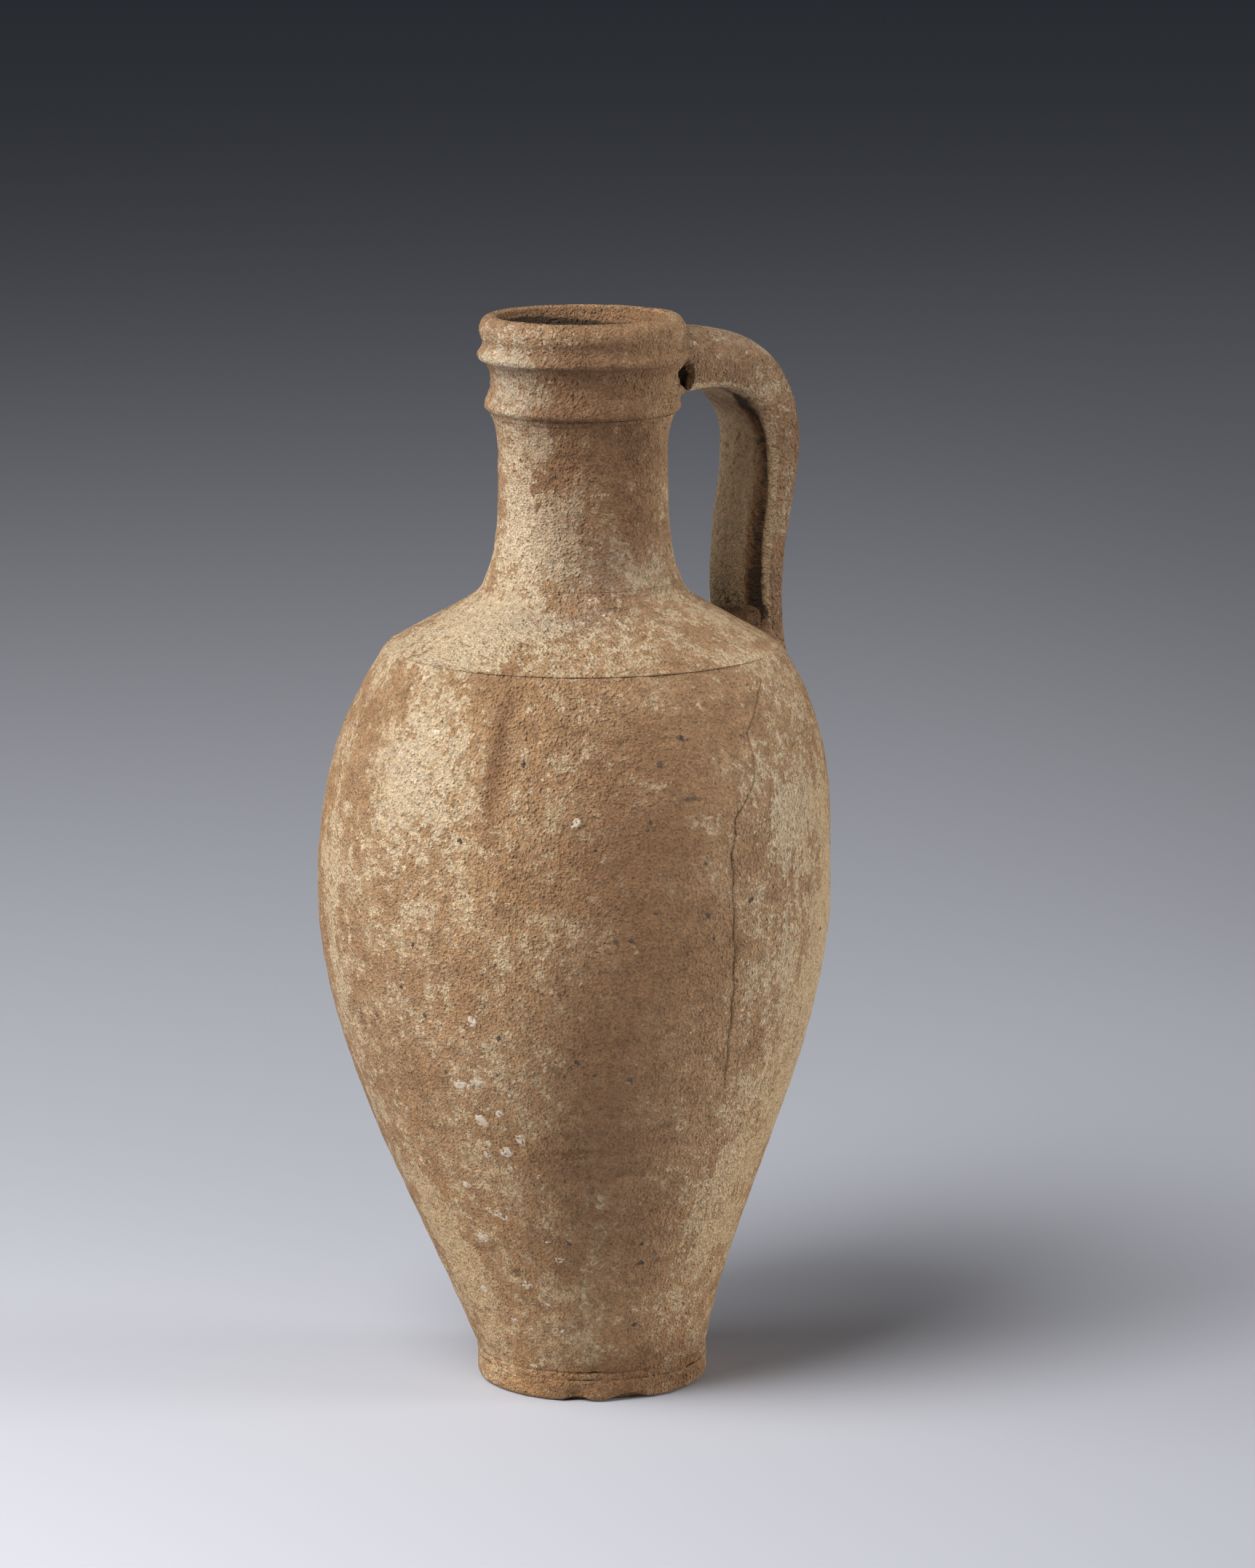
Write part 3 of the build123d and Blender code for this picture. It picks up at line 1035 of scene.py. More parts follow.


# The long brown run down the front by level and bearing, partly real brown staining and partly painted shade,
# and the soft patches of every coat
BROWN_RUN_AND_SHADE = ((174, -111), (148, -110), (118, -114), (87, -117), (52, -116))
WASHES = {
    # Thick and worn places in the cream slip; some also paint light and shade, as noted at each
    Coat.SLIP: (
        Patch(182, -162, 20, 18, 0.44),
        Patch(185, -150, 34, 40, 0.08),
        Patch(150, -158, 26, 26, 0.13),
        # Pale slip along the belly's left edge: partly real flecks, partly painted light.
        Patch(140, 168, 60, 12, 0.38),
        Patch(40, -178, 44, 12, 0.46),
        Patch(188, 174, 14, 6, -0.34),
        Patch(214, -172, 12, 40, 0.31),
        Patch(217, -125, 9, 28, 0.05),
        Patch(218, -105, 9, 40, 0.08),
        Patch(246, -168, 20, 13, 0.57),
        Patch(250, -128, 9, 9, 0.34),
        Patch(268, -98, 6, 7, 0.40),
        Patch(266, -148, 5, 5, 0.40),
        Patch(236, -120, 8, 22, 0.20),
        Patch(110, -150, 26, 22, 0.14),
        Patch(190, -128, 14, 12, 0.14),
        Patch(142, -128, 14, 14, 0.14),
        # Thinner slip down the front: partly real wear, partly painted shade where the light falls off.
        Patch(125, -106, 55, 24, -0.22),
        Patch(130, -66, 80, 20, 0.36),
        # Pale slip along the belly's right edge: partly real flecks, partly painted light.
        Patch(130, -44, 80, 14, 0.45),
        Patch(171, -70, 8, 12, 0.22),
        Patch(60, -150, 40, 16, 0.22),
        Patch(55, -72, 40, 16, 0.26),
        # Thinner slip down the front of the neck and collar: partly real wear, partly painted shade.
        Patch(285, -110, 22, 60, -0.16),
        Patch(262, -112, 10, 22, -0.24),
        Patch(284, -168, 18, 16, 0.62),
        Patch(188, -143, 20, 3, -0.50),
        Patch(180, 110, 30, 40, 0.26),
        Patch(120, 70, 40, 34, 0.18),
        Patch(70, 130, 40, 30, 0.20),
        Patch(110, 24, 60, 24, -0.10),
        Patch(172, -22, 14, 12, 0.30),
        Patch(140, -14, 16, 14, 0.30),
        Patch(104, -22, 12, 10, 0.26),
        Patch(72, -10, 18, 16, 0.28),
        Patch(250, 90, 22, 20, 0.22),
    ),
    # Warmer clay and slip
    Coat.OCHRE: (
        Patch(45, -180, 50, 14, 0.60),
        Patch(60, -60, 70, 26, 0.90),
        Patch(160, -46, 60, 20, 0.70),
        Patch(45, -150, 55, 26, 0.75),
        Patch(150, -130, 60, 40, 0.45),
        Patch(150, 160, 70, 24, 0.45),
        Patch(90, 60, 70, 50, 0.55),
    ),
    # Brown stains, the last of them one long run down the belly; the ones down the front are partly painted
    # shade where the light falls off
    Coat.STAIN_AND_SHADE: (
        Patch(196, -112, 16, 26, 0.22),
        Patch(250, -122, 22, 17, 0.90),
        Patch(8, -95, 12, 40, 0.40),
        Patch(264, -112, 10, 20, 0.70),
        Patch(240, -88, 22, 14, 0.35),
        Patch(284, -124, 16, 22, 1.1),
        Patch(6, -80, 10, 30, 0.45),
        Patch(188, -143, 20, 3, 0.80),
        Patch(150, 40, 50, 26, 0.35),
        Patch(80, 100, 40, 22, 0.30),
        *(Patch(level, bearing, 24, 26, 0.47) for level, bearing in BROWN_RUN_AND_SHADE),
    ),
    # Grey dust
    Coat.FILM: (
        Patch(220, -140, 3, 16, 0.40),
        Patch(232, -100, 8, 20, 0.35),
        Patch(284, -172, 16, 12, 0.30),
    ),
    # Slip that was wiped downwards
    Coat.WIPE: (
        Patch(120, -70, 90, 26, 0.85),
    ),
}
# The crack by level and bearing, the chips in the foot, and two marks on the belly
CRACK_PATH = ((60, -79), (107, -84), (160, -86), (170, -85), (180, -78), (192, -78), (200, -70), (208, -60))
CHIPS = (
    Patch(1.5, -130.0, 2.4, 3.0, 2.0),
    Patch(0.5, -104.0, 2.2, 5.0, 2.0),
    Patch(3.0, -70.0, 2.0, 3.0, 1.4),
)
SMEAR = Patch(176.8, -96.9, 1.0, 4.5, 0.8)
SCRATCH = Patch(78.5, -121.0, 0.7, 8.0)


@dataclass(frozen=True)
class Sprinkle:
    """A loose group of lumps about one place."""

    level: float
    bearing: float
    tall: float
    wide: float
    count: int
    size: float


LIME_SPOTS = (
    Sprinkle(100, -145, 5, 7, 10, 1.35),
    Sprinkle(70, -147, 12, 9, 12, 1.3),
    Sprinkle(40, -147, 15, 8, 10, 1.2),
    Sprinkle(172, -123, 0, 0, 1, 1.3),
    Sprinkle(190, -166, 12, 6, 4, 1.0),
    Sprinkle(214, -178, 4, 12, 3, 0.9),
    Sprinkle(120, 70, 40, 40, 12, 0.9),
)
DARK_SPOTS = (
    Sprinkle(172, -106, 20, 18, 10, 0.55),
    Sprinkle(150, -120, 18, 20, 8, 0.45),
    Sprinkle(90, -122, 10, 24, 6, 0.55),
    Sprinkle(166, -149, 0, 0, 1, 0.95),
    Sprinkle(204, -171, 0, 0, 1, 0.7),
    Sprinkle(40, -109, 14, 8, 4, 0.6),
    Sprinkle(120, -165, 14, 8, 4, 0.55),
    Sprinkle(262, -140, 12, 14, 14, 0.32),
    Sprinkle(130, 50, 45, 55, 22, 0.6),
)


def block(name: str, points: np.ndarray, faces: Sequence[Sequence[int]] = ()) -> bpy.types.Object:
    """Make an object from points in metres.

    Args:
        name: Name of the object.
        points: Points of its mesh.
        faces: Faces, or none for loose points.

    Returns:
        The object.
    """
    mesh = bpy.data.meshes.new(name)
    mesh.from_pydata(points.tolist(), [], [list(face) for face in faces])
    made = bpy.data.objects.new(name, mesh)
    bpy.context.scene.collection.objects.link(made)
    return made


class Workshop:
    """Holds the trees and materials that the pieces share, and finishes each piece."""

    def __init__(self) -> None:
        """Build the trees and the materials."""
        self.surface: list[np.ndarray] = []
        self.wheel = ThrowingWheel()
        self.inclusions = Inclusions()
        self.clay = ClayFinish("worn_clay").material()
        strap = ClayFinish("handle_clay", slip_size=3.6, speck_share=0.12, hole_share=0.5)
        self.strap_clay = strap.material()
        self.lute_clay = ClayFinish("joint_clay", body=(0.300, 0.195, 0.120), sand_depth=0.26).material()
        self.lime = PlainFinish("lime", (0.590, 0.505, 0.405), (0.430, 0.310, 0.200), 1.1).material()
        self.dark = PlainFinish("dark_grit", (0.100, 0.075, 0.056), (0.035, 0.028, 0.023), 1.0).material()

    def throw(
        self,
        name: str,
        profile: Line,
        columns: int,
        marks: Marks = BODY_MARKS,
        closed: bool = True,
        lean: bool = True,
    ) -> Skin:
        """Turn a profile on the wheel.

        Args:
            name: Name of the piece.
            profile: Points of radius and level, outside upwards and inside downwards.
            columns: Number of faces round the piece.
            marks: Depths of the marks.
            closed: Whether the profile leads back to its start.
            lean: Whether the axis drifts.

        Returns:
            The skin of the turned piece.
        """
        count = len(profile)
        drift = FORM.axis(profile[:, 1]) if lean else np.zeros(count)
        piece = block(name, np.stack([profile[:, 0], drift, profile[:, 1]], axis=1) * MM)
        counts = {"points": count, "rows": count + 1 if closed else count, "columns": columns}
        self.wheel.run(piece, counts | marks.in_metres() | {"Material": self.clay})
        return Skin(piece.data)

    def grid(self, name: str, rows: np.ndarray, material: bpy.types.Material, capped: bool) -> Skin:
        """Skin a grid of points that closes round each row.

        Args:
            name: Name of the piece.
            rows: Points by row and column, in millimetres.
            material: Material of the piece.
            capped: Whether a fan closes both ends, instead of the last row leading back to the first.

        Returns:
            The skin of the piece.
        """
        deep, wide = rows.shape[:2]
        points = rows.reshape(-1, 3)
        faces = []
        for row in range(deep - 1 if capped else deep):
            near, far = row * wide, ((row + 1) % deep) * wide
            for column in range(wide):
                beside = (column + 1) % wide
                faces.append((near + column, near + beside, far + beside, far + column))
        if capped:
            points = np.concatenate([points, [rows[0].mean(axis=0)], [rows[-1].mean(axis=0)]])
            first, last, end = len(points) - 2, len(points) - 1, (deep - 1) * wide
            for column in range(wide):
                beside = (column + 1) % wide
                faces.append((first, beside, column))
                faces.append((last, end + column, end + beside))
        piece = block(name, points * MM, faces)
        piece.data.materials.append(material)
        piece.data.polygons.foreach_set("use_smooth", [True] * len(piece.data.polygons))
        piece.data.update()
        return Skin(piece.data)

    def keep(self, skin: Skin, slot: Slot, *nodes: str) -> None:
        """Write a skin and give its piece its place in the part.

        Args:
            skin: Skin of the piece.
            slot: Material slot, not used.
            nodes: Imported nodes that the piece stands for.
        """
        skin.write()
        self.surface.append(skin.at[skin.outside])
        piece = bpy.data.objects[skin.mesh.name]
        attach(piece, "root")
        if nodes:
            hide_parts(*nodes)
        faces = len(piece.data.polygons)
        log.info("%s: %d faces, for %s", piece.name, faces, ", ".join(nodes) or "looks only")


@dataclass
class Foot:
    """Turned disc that the jug stands on, and the rough coil above it."""

    edge_round: float = 2.0
    corner_round: float = 0.3
    floor_radius: float = 24.0
    coil_back: float = 0.2
    coil_lap: float = 0.4
    coil_bulge: float = 0.3
    columns: int = 320

    def build(self, shop: Workshop) -> None:
        """Build and dress the disc and the coil.

        Args:
            shop: Workshop that finishes them.
        """
        radius, top, floor, inner = FORM.foot_radius, FORM.foot_level, FORM.wall_base, self.floor_radius
        worn = self.corner_round
        corners = [(0.0, 0.0), (radius, 0.0), (radius, top), (inner, top), (inner, floor), (0.0, floor)]
        lines = sides(corners, [2.0, 0.6, 1.0, 1.0, 3.0])
        profile = ease(lines, [self.edge_round, worn, worn, worn, 0.0], closed=False)
        skin = shop.throw("base_disc", profile, self.columns, DISC_MARKS, closed=False, lean=False)
        for chip in CHIPS:
            skin.sink(skin.weigh(chip))
        skin.layers[Coat.OCHRE] += 0.3
        skin.layers[Coat.SOIL_AND_SHADE] += 0.16 * (skin.level < 1.0)
        skin.cover(0.40)
        shop.keep(skin, Slot.CLAY, "foot")

        middle = (top + floor) / 2
        back, low, high = radius - self.coil_back, top - self.coil_lap, floor + self.coil_lap
        face = even(np.array([(back, low), (back + self.coil_bulge, middle), (back, high)]), 0.5)
        lines = [face] + sides([(back, high), (inner, high), (inner, low), (back, low)], [2.0, 1.0, 2.0])
        skin = shop.throw("base_coil", ease(lines, [worn] * 4), self.columns, COIL_MARKS, lean=False)
        turn = np.radians(skin.bearing)
        ragged = np.sin(5 * turn) + np.sin(11 * turn + 1.0) + 0.8 * np.sin(23 * turn + 2.0)
        edge = smooth(np.abs(skin.level - middle), 0.5, 1.2)
        skin.sink(skin.outside * (0.08 + 0.40 * edge * smooth(ragged, -0.6, 1.8)))
        skin.layers[Coat.OCHRE] += 0.2
        skin.cover(0.42)
        shop.keep(skin, Slot.SLIP, "foot_coil")


@dataclass
class ThrownWall:
    """Tall leaning wall with its crack, spots and worn slip."""

    columns: int = 376
    step: float = 1.15
    rim_step: float = 1.6
    inner_step: float = 12.0
    crack_bearing: float = -77.0
    crack_depth: float = 0.85
    crack_reach: float = 3.0
    crack_opens: tuple[float, float] = (84.0, 112.0)
    crack_thins: tuple[float, float] = (172.0, 186.0)
    shear_reach: float = 75.0

    def build(self, shop: Workshop) -> None:
        """Build and dress the wall.

        Args:
            shop: Workshop that finishes it.
        """
        outer = FORM.wall_line()
        inner = outer[::-1] - np.array([FORM.wall, 0.0])
        lines = [
            even(outer, self.step),
            *sides([outer[-1], inner[0]], [self.rim_step]),
            even(inner, self.inner_step),
            *sides([inner[-1], outer[0]], [self.rim_step]),
        ]
        skin = shop.throw("thrown_wall", ease(lines, [0.25, 0.5, 0.5, 0.35]), self.columns)
        self.crack(skin)
        skin.cover(np.where(skin.outside, 0.44, 0.1))
        skin.layers[Coat.SPOT] += skin.weigh(SMEAR)
        scratch = skin.weigh(SCRATCH)
        skin.layers[Coat.STAIN_AND_SHADE] += scratch * 0.8
        skin.sink(0.3 * scratch)
        shop.keep(skin, Slot.CLAY, "body_wall")

    def crack(self, skin: Skin) -> None:
        """Draw columns of vertices along the crack and sink one of them.

        Args:
            skin: Skin of the wall.
        """
        levels, bearings = np.array(CRACK_PATH, float).T
        jitter = np.sin(skin.level * 1.9) * 0.12 + np.sin(skin.level * 0.61 + 1.0) * 0.22
        path = np.interp(skin.level, levels, bearings) + jitter
        pitch = 360.0 / self.columns
        start = round(self.crack_bearing / pitch) * pitch
        gap = skin.away(start)
        pull = smooth(self.shear_reach - np.abs(gap), 0.0, self.shear_reach)
        near = gap * (1 - 0.80 * np.exp(-((gap / self.crack_reach) ** 2)))
        turned = np.radians(start + near + (path - start) * pull)
        moved = skin.outside
        axis = FORM.axis(skin.level)
        skin.at[moved, 0] = (axis + skin.radius * np.cos(turned))[moved]
        skin.at[moved, 1] = (skin.radius * np.sin(turned))[moved]
        on_line = (np.abs(gap) < pitch * 0.5) & moved
        beside = (np.abs(gap) < pitch * 1.5) & moved & ~on_line
        fade = smooth(skin.level, *self.crack_opens) * (0.85 + 0.15 * np.sin(skin.level * 0.45))
        fade = fade * (1 - 0.55 * smooth(skin.level, *self.crack_thins))
        skin.sink(self.crack_depth * fade * on_line)
        skin.layers[Coat.CRACK] += fade * on_line + 0.2 * fade * beside
        skin.measure()


@dataclass
class ShoulderCap:
    """Sloping shoulder between the wall and the neck, and the slip rings at both of its edges."""

    columns: int = 400
    step: float = 0.85
    inner_step: float = 3.0
    spigot_outer: float = 48.3
    spigot_inner: float = 45.3
    spigot_drop: float = 5.0
    socket_radius: float = 21.9
    socket_depth: float = 7.3
    groove_back: float = 0.38
    filled_left: tuple[float, float, float] = (168.0, 10.0, 46.0)
    filled_handle: tuple[float, float, float] = (0.0, 50.0, 74.0)

    def build(self, shop: Workshop) -> None:
        """Build and dress the shoulder and its slip rings.

        Args:
            shop: Workshop that finishes them.
        """
        cap, base = FORM.cap_line(), FORM.cap_base
        inside = [
            cap[-1],
            (self.socket_radius, FORM.cap_top),
            (self.socket_radius, FORM.cap_top - self.socket_depth),
            (self.spigot_inner, base),
            (self.spigot_inner, base - self.spigot_drop),
            (self.spigot_outer, base - self.spigot_drop),
            (self.spigot_outer, base),
            cap[0],
        ]
        lines = [even(cap, self.step)] + sides(inside, [self.inner_step] * 7)
        profile = ease(lines, [SEAM_ROUND, 0.3, 0.3, 0.3, 0.3, 0.3, 0.3, 0.5])
        skin = shop.throw("shoulder_cap", profile, self.columns)
        skin.cover(0.50)
        shop.keep(skin, Slot.CLAY, "shoulder")

        profile = self.seam(FORM.wall_line()[-9:], cap[:3], self.spigot_outer, (1.0, 0.0))
        skin = shop.throw("shoulder_slip", profile, self.columns)
        self.groove(skin)
        shop.keep(skin, Slot.SLIP, "shoulder_lute")

        profile = self.seam(cap[-20:], FORM.neck_line()[:9], self.socket_radius, (1.0, 1.0))
        skin = shop.throw("neck_slip", profile, self.columns)
        end = np.minimum(skin.level - skin.level.min(), skin.level.max() - skin.level)
        skin.sink(skin.outside * (0.07 - 0.13 * smooth(end, 0.8, 4.0)))
        skin.cover(0.46)
        shop.keep(skin, Slot.SLIP, "neck_lute")

    def groove(self, skin: Skin) -> None:
        """Draw the slip back to leave the groove that runs round the shoulder, filled in two stretches.

        Args:
            skin: Skin of the shoulder's slip ring.
        """
        filled = np.zeros(len(skin.level))
        for bearing, full, open_from in (self.filled_left, self.filled_handle):
            filled += smooth(-np.abs(skin.away(bearing)), -open_from, -full)
        turn = np.radians(skin.bearing)
        rough = 0.7 + 0.3 * np.sin(31 * turn) * np.sin(17 * turn + 1.0)
        wander = 0.3 * np.sin(23 * turn) * np.sin(13 * turn + 0.5)
        line = smooth(skin.level + wander, FORM.cap_base - 1.2, FORM.cap_base - 0.3)
        lap = smooth(skin.level, FORM.wall_top - 3.0, FORM.wall_top - 1.0)
        back = self.groove_back * rough * (1 - 0.85 * filled)
        skin.sink(skin.outside * (0.06 - 0.11 * lap + (0.06 + back) * line))
        # Grime and painted shade in the open stretches of the groove.
        skin.layers[Coat.SOIL_AND_SHADE] += 0.06 * (1 - filled) * line
        skin.cover(0.30 + 0.20 * filled)

    @staticmethod
    def seam(below: Line, above: Line, inner: float, tuck: tuple[float, float] = (0.0, 0.0)) -> Line:
        """Draw the section of a slip ring that is wiped level with the pieces it joins.

        Args:
            below: Last points of the lower piece's outside.
            above: First points of the upper piece's outside.
            inner: Inner radius of the ring.
            tuck: How far its lower and upper ends reach in under the pieces.

        Returns:
            Points of the section.
        """
        first, last = tuck
        low, high = below[0] - np.array([first, 0.6 * first]), above[-1] - np.array([last, -0.6 * last])
        outside = np.concatenate([low[None]] * bool(first) + [below, above] + [high[None]] * bool(last))
        corners = [high, (inner, high[1]), (inner, low[1]), low]
        return ease([even(outside, 0.4)] + sides(corners, [2.0] * 3), [SEAM_ROUND] * 4)


@dataclass
class Neck:
    """Waisted neck and the ridged collar on it, with the slip between them."""

    columns: int = 340
    step: float = 0.6
    inner_step: float = 3.0
    collar_step: float = 0.42
    funnel_step: float = 0.9
    socket_step: float = 2.5
    corner_round: float = 0.2
    spigot_radius: float = 21.6
    spigot_play: float = 0.3
    lap: float = 4.0
    funnel_rise: float = 13.0
    mouth_radius: float = 24.6
    waist_rise: float = 12.6

    def build(self, shop: Workshop) -> None:
        """Build and dress the neck, its upper slip ring and the collar.

        Args:
            shop: Workshop that finishes them.
        """
        line, worn = FORM.neck_line(), self.corner_round
        top, low = FORM.collar_base + self.lap, FORM.cap_top - self.lap
        inside = [
            line[-1],
            (self.spigot_radius, FORM.neck_top),
            (self.spigot_radius, top),
            (FORM.throat_radius, top),
            (FORM.throat_radius, low),
            (self.spigot_radius, low),
            (self.spigot_radius, FORM.neck_base),
            line[0],
        ]
        lines = [even(line, self.step)] + sides(inside, [self.inner_step] * 7)
        profile = ease(lines, [SEAM_ROUND, worn, worn, worn, worn, worn, worn, SEAM_ROUND])
        skin = shop.throw("neck_tube", profile, self.columns)
        skin.cover(0.42)
        shop.keep(skin, Slot.CLAY, "neck")

        profile = ShoulderCap.seam(line[-3:], FORM.collar_line()[:3], self.spigot_radius + self.spigot_play)
        skin = shop.throw("collar_slip", profile, self.columns)
        skin.cover(0.40)
        shop.keep(skin, Slot.SLIP, "collar_lute")

        skin = shop.throw("ridged_collar", self.collar(), self.columns, COLLAR_MARKS)
        self.paint(skin)
        shop.keep(skin, Slot.CLAY, "mouth_collar")

    def collar(self) -> Line:
        """Draw the collar's section.

        Returns:
            Points of radius and level.
        """
        line, base, worn = FORM.collar_line(), FORM.collar_base, self.corner_round
        socket = self.spigot_radius + self.spigot_play
        step_up = base + self.lap + self.spigot_play
        throat = (FORM.throat_radius, base + self.funnel_rise)
        funnel = spline([line[-1], throat], start=(-0.5, -1), end=(0, -1))
        inside = [throat, (FORM.throat_radius, step_up), (socket, step_up), (socket, base), line[0]]
        lines = [even(line, self.collar_step), even(funnel, self.funnel_step)]
        return ease(lines + sides(inside, [self.socket_step] * 4), [0.8, 0.0, worn, worn, worn, SEAM_ROUND])

    def paint(self, skin: Skin) -> None:
        """Paint the collar, with painted shade under its ridge and inside its mouth.

        Args:
            skin: Skin of the collar.
        """
        # Painted shade inside the mouth: thinner slip, brown and dark, deepening with depth and starting
        # nearer the rim away from the handle.
        inside = smooth(self.mouth_radius - skin.radius, 0.0, 1.2) * (skin.level < FORM.collar_top - 0.6)
        ridge = smooth(FORM.radius(skin.level), 26.2, 28.4) * (1 - inside)
        # Painted shade under the ridge.
        under = np.exp(-(((skin.level - FORM.collar_base - self.waist_rise) / 1.5) ** 2)) * (1 - inside)
        skin.cover(0.36 - 0.24 * inside + 0.14 * ridge)
        skin.layers[Coat.STAIN_AND_SHADE] += 0.60 * inside + 0.45 * under
        far = smooth(np.abs(skin.away(0.0)), 30.0, 110.0)
        deep = smooth(FORM.collar_top - skin.level, 3.0 - 1.5 * far, 5.5 - 2.5 * far)
        skin.layers[Coat.SOIL_AND_SHADE] += 0.16 * under + inside * (0.10 + 0.75 * deep)


@dataclass(frozen=True)
class Root:
    """Clay wiped round one root of the handle: how far it climbs and spreads, and how much more outside."""

    name: str
    node: str
    way: int
    climb: float
    outer_climb: float
    spread: float
    outer_spread: float


UPPER_ROOT = Root("upper_smear", "upper_root_lute", 1, 5.0, 3.0, 2.2, 0.6)
LOWER_ROOT = Root("lower_smear", "lower_root_lute", -1, 4.0, 8.0, 3.2, 2.6)


@dataclass
class StrapHandle:
    """Pulled strap from the collar to the shoulder, and the clay wiped round its roots."""

    width: float = 30.0
    root_thickness: float = 20.0
    strap_thickness: float = 8.5
    taper: float = 1.7
    root_level: float = FORM.collar_base + 12.6
    sink: float = 1.6
    station: float = 0.2
    columns: int = 132
    rows: int = 230
    furrow_depth: float = 1.5
    furrow_starts: tuple[float, float] = (0.28, 0.42)
    straightens: tuple[float, float] = (0.40, 0.62)
    smear_rows: int = 14
    pocket_out: float = 24.3
    pocket_level: float = 282.0
    pocket_depth: float = 4.0

    def route(self) -> Line:
        """Draw the strap's middle line.

        Returns:
            Evenly spaced points of its route.
        """
        lean = FORM.neck_lean
        knots = np.array(
            [
                (lean + 18.3, self.root_level),
                (lean + 49.5, self.root_level - 3.6),
                (lean + 59.0, self.root_level - 23.4),
                (lean + 54.4, FORM.cap_base + 14.0),
                (lean + FORM.shoulder_radius, FORM.wall_top - 10.0),
            ]
        )
        slopes = unit(np.array([(1, 0), (1, -0.75), (0, -1), (0, -1), (0, -1)], float))
        return even(through(knots, slopes, 2 * SPLINE_POINTS), self.station)

    def section(self, share: Line) -> tuple[np.ndarray, np.ndarray]:
        """Draw the strap's section at some shares of its route.

        Args:
            share: Shares of the route.

        Returns:
            For each share and column, the place across the strap, and the place out from its middle.
        """
        swell = self.root_thickness - self.strap_thickness
        thick = self.strap_thickness + swell * (1 - share) ** self.taper
        angle = np.linspace(0, math.tau, self.columns, endpoint=False)
        across, out = np.cos(angle), np.sin(angle)
        wide = np.sign(across) * np.abs(across) ** np.where(out > 0, 0.62, 0.50)
        tall = np.sign(out) * np.abs(out) ** np.where(out > 0, 0.85, 0.55)
        return np.full_like(thick, self.width / 2)[:, None] * wide[None], (thick / 2)[:, None] * tall[None]

    def surface(self) -> np.ndarray:
        """Place the strap's columns along the whole route.

        Returns:
            Points by station and column.
        """
        line = self.route()
        forward = unit(np.gradient(line, axis=0))
        outward = np.stack([-forward[:, 1], forward[:, 0]], axis=1)
        share = np.linspace(0, 1, len(line))
        across, out = self.section(share)
        inner = smooth(-out / (np.abs(out).max(axis=1)[:, None]), 0.3, 0.9)
        along = share[:, None]
        elbow = np.exp(-(((along - 0.30) / 0.10) ** 2))
        lower = smooth(along, *self.straightens)
        furrow = np.exp(-(((across + 8.5 + 1.6 * lower) / 1.8) ** 2))
        furrow = furrow * smooth(along, *self.furrow_starts) * smooth(-along, -0.97, -0.85)
        hollow = np.exp(-((across / 9.0) ** 2)) * 0.5
        tilt = -0.9 * smooth(-across, 8.0, 13.0) * smooth(along, 0.25, 0.45) * (1 - lower)
        out = out + inner * (self.furrow_depth * furrow + hollow + tilt - 1.5 * elbow)
        out = out - 0.8 * (smooth(out, 2.0, 9.0) * np.exp(-(((along - 0.10) / 0.12) ** 2)))
        x = line[:, None, 0] + outward[:, None, 0] * out
        z = line[:, None, 1] + outward[:, None, 1] * out
        return np.stack([x, across, z], axis=2)

    @staticmethod
    def settle(points: np.ndarray) -> np.ndarray:
        """Move points onto the jug's outer form.

        Args:
            points: Points near the form.

        Returns:
            The points on it.
        """
        placed = points.copy()
        for _ in range(12):
            level = placed[..., 2]
            across = placed[..., 0] - FORM.axis(level)
            radius = np.hypot(across, placed[..., 1])
            gap = radius - FORM.radius(level)
            slope = (FORM.radius(level + 0.4) - FORM.radius(level - 0.4)) / 0.8
            step = (gap / (1 + slope**2))[..., None]
            uphill = np.stack([across / radius, placed[..., 1] / radius, -slope], axis=-1)
            placed -= 0.8 * step * uphill
        return placed

    @staticmethod
    def ends(surface: np.ndarray, sunk: float) -> tuple[np.ndarray, np.ndarray]:
        """Find where each column of the strap leaves the collar and where it enters the shoulder.

        Args:
            surface: Points by station and column.
            sunk: Depth inside the jug's outer form that counts.

        Returns:
            The last station that lies as deep in the collar, and the first in the shoulder.
        """
        count, level = len(surface), surface[..., 2]
        depth = FORM.radius(level) - np.hypot(surface[..., 0] - FORM.axis(level), surface[..., 1])
        stations, deep = np.arange(count)[:, None], depth > sunk
        first = np.where(deep & (stations < count // 2), stations, 0).max(axis=0)
        return first, np.where(deep & (stations > count // 2), stations, count - 1).min(axis=0)

    def build(self, shop: Workshop) -> None:
        """Build and dress the strap and the clay at its roots.

        Args:
            shop: Workshop that finishes them.
        """
        surface = self.surface()
        first, last = self.ends(surface, self.sink)
        share = np.linspace(0, 1, self.rows)[:, None]
        rows = self.press(self.sample(surface, first[None] + (last - first)[None] * share))
        skin = shop.grid("strap_handle", rows, shop.strap_clay, capped=True)
        self.paint(skin, rows, share)
        shop.keep(skin, Slot.STRAP, "handle")

        first, last = self.ends(surface, 0.0)
        self.smear(shop, surface, first, UPPER_ROOT)
        self.smear(shop, surface, last, LOWER_ROOT)

    @staticmethod
    def sample(surface: np.ndarray, place: np.ndarray) -> np.ndarray:
        """Read the strap's columns at places between stations.

        Args:
            surface: Points by station and column.
            place: Station to read, by row and column.

        Returns:
            Points by row and column.
        """
        low = np.clip(np.floor(place).astype(int), 0, len(surface) - 2)
        part = (place - low)[..., None]
        column = np.arange(surface.shape[1])[None]
        return surface[low, column] * (1 - part) + surface[low + 1, column] * part

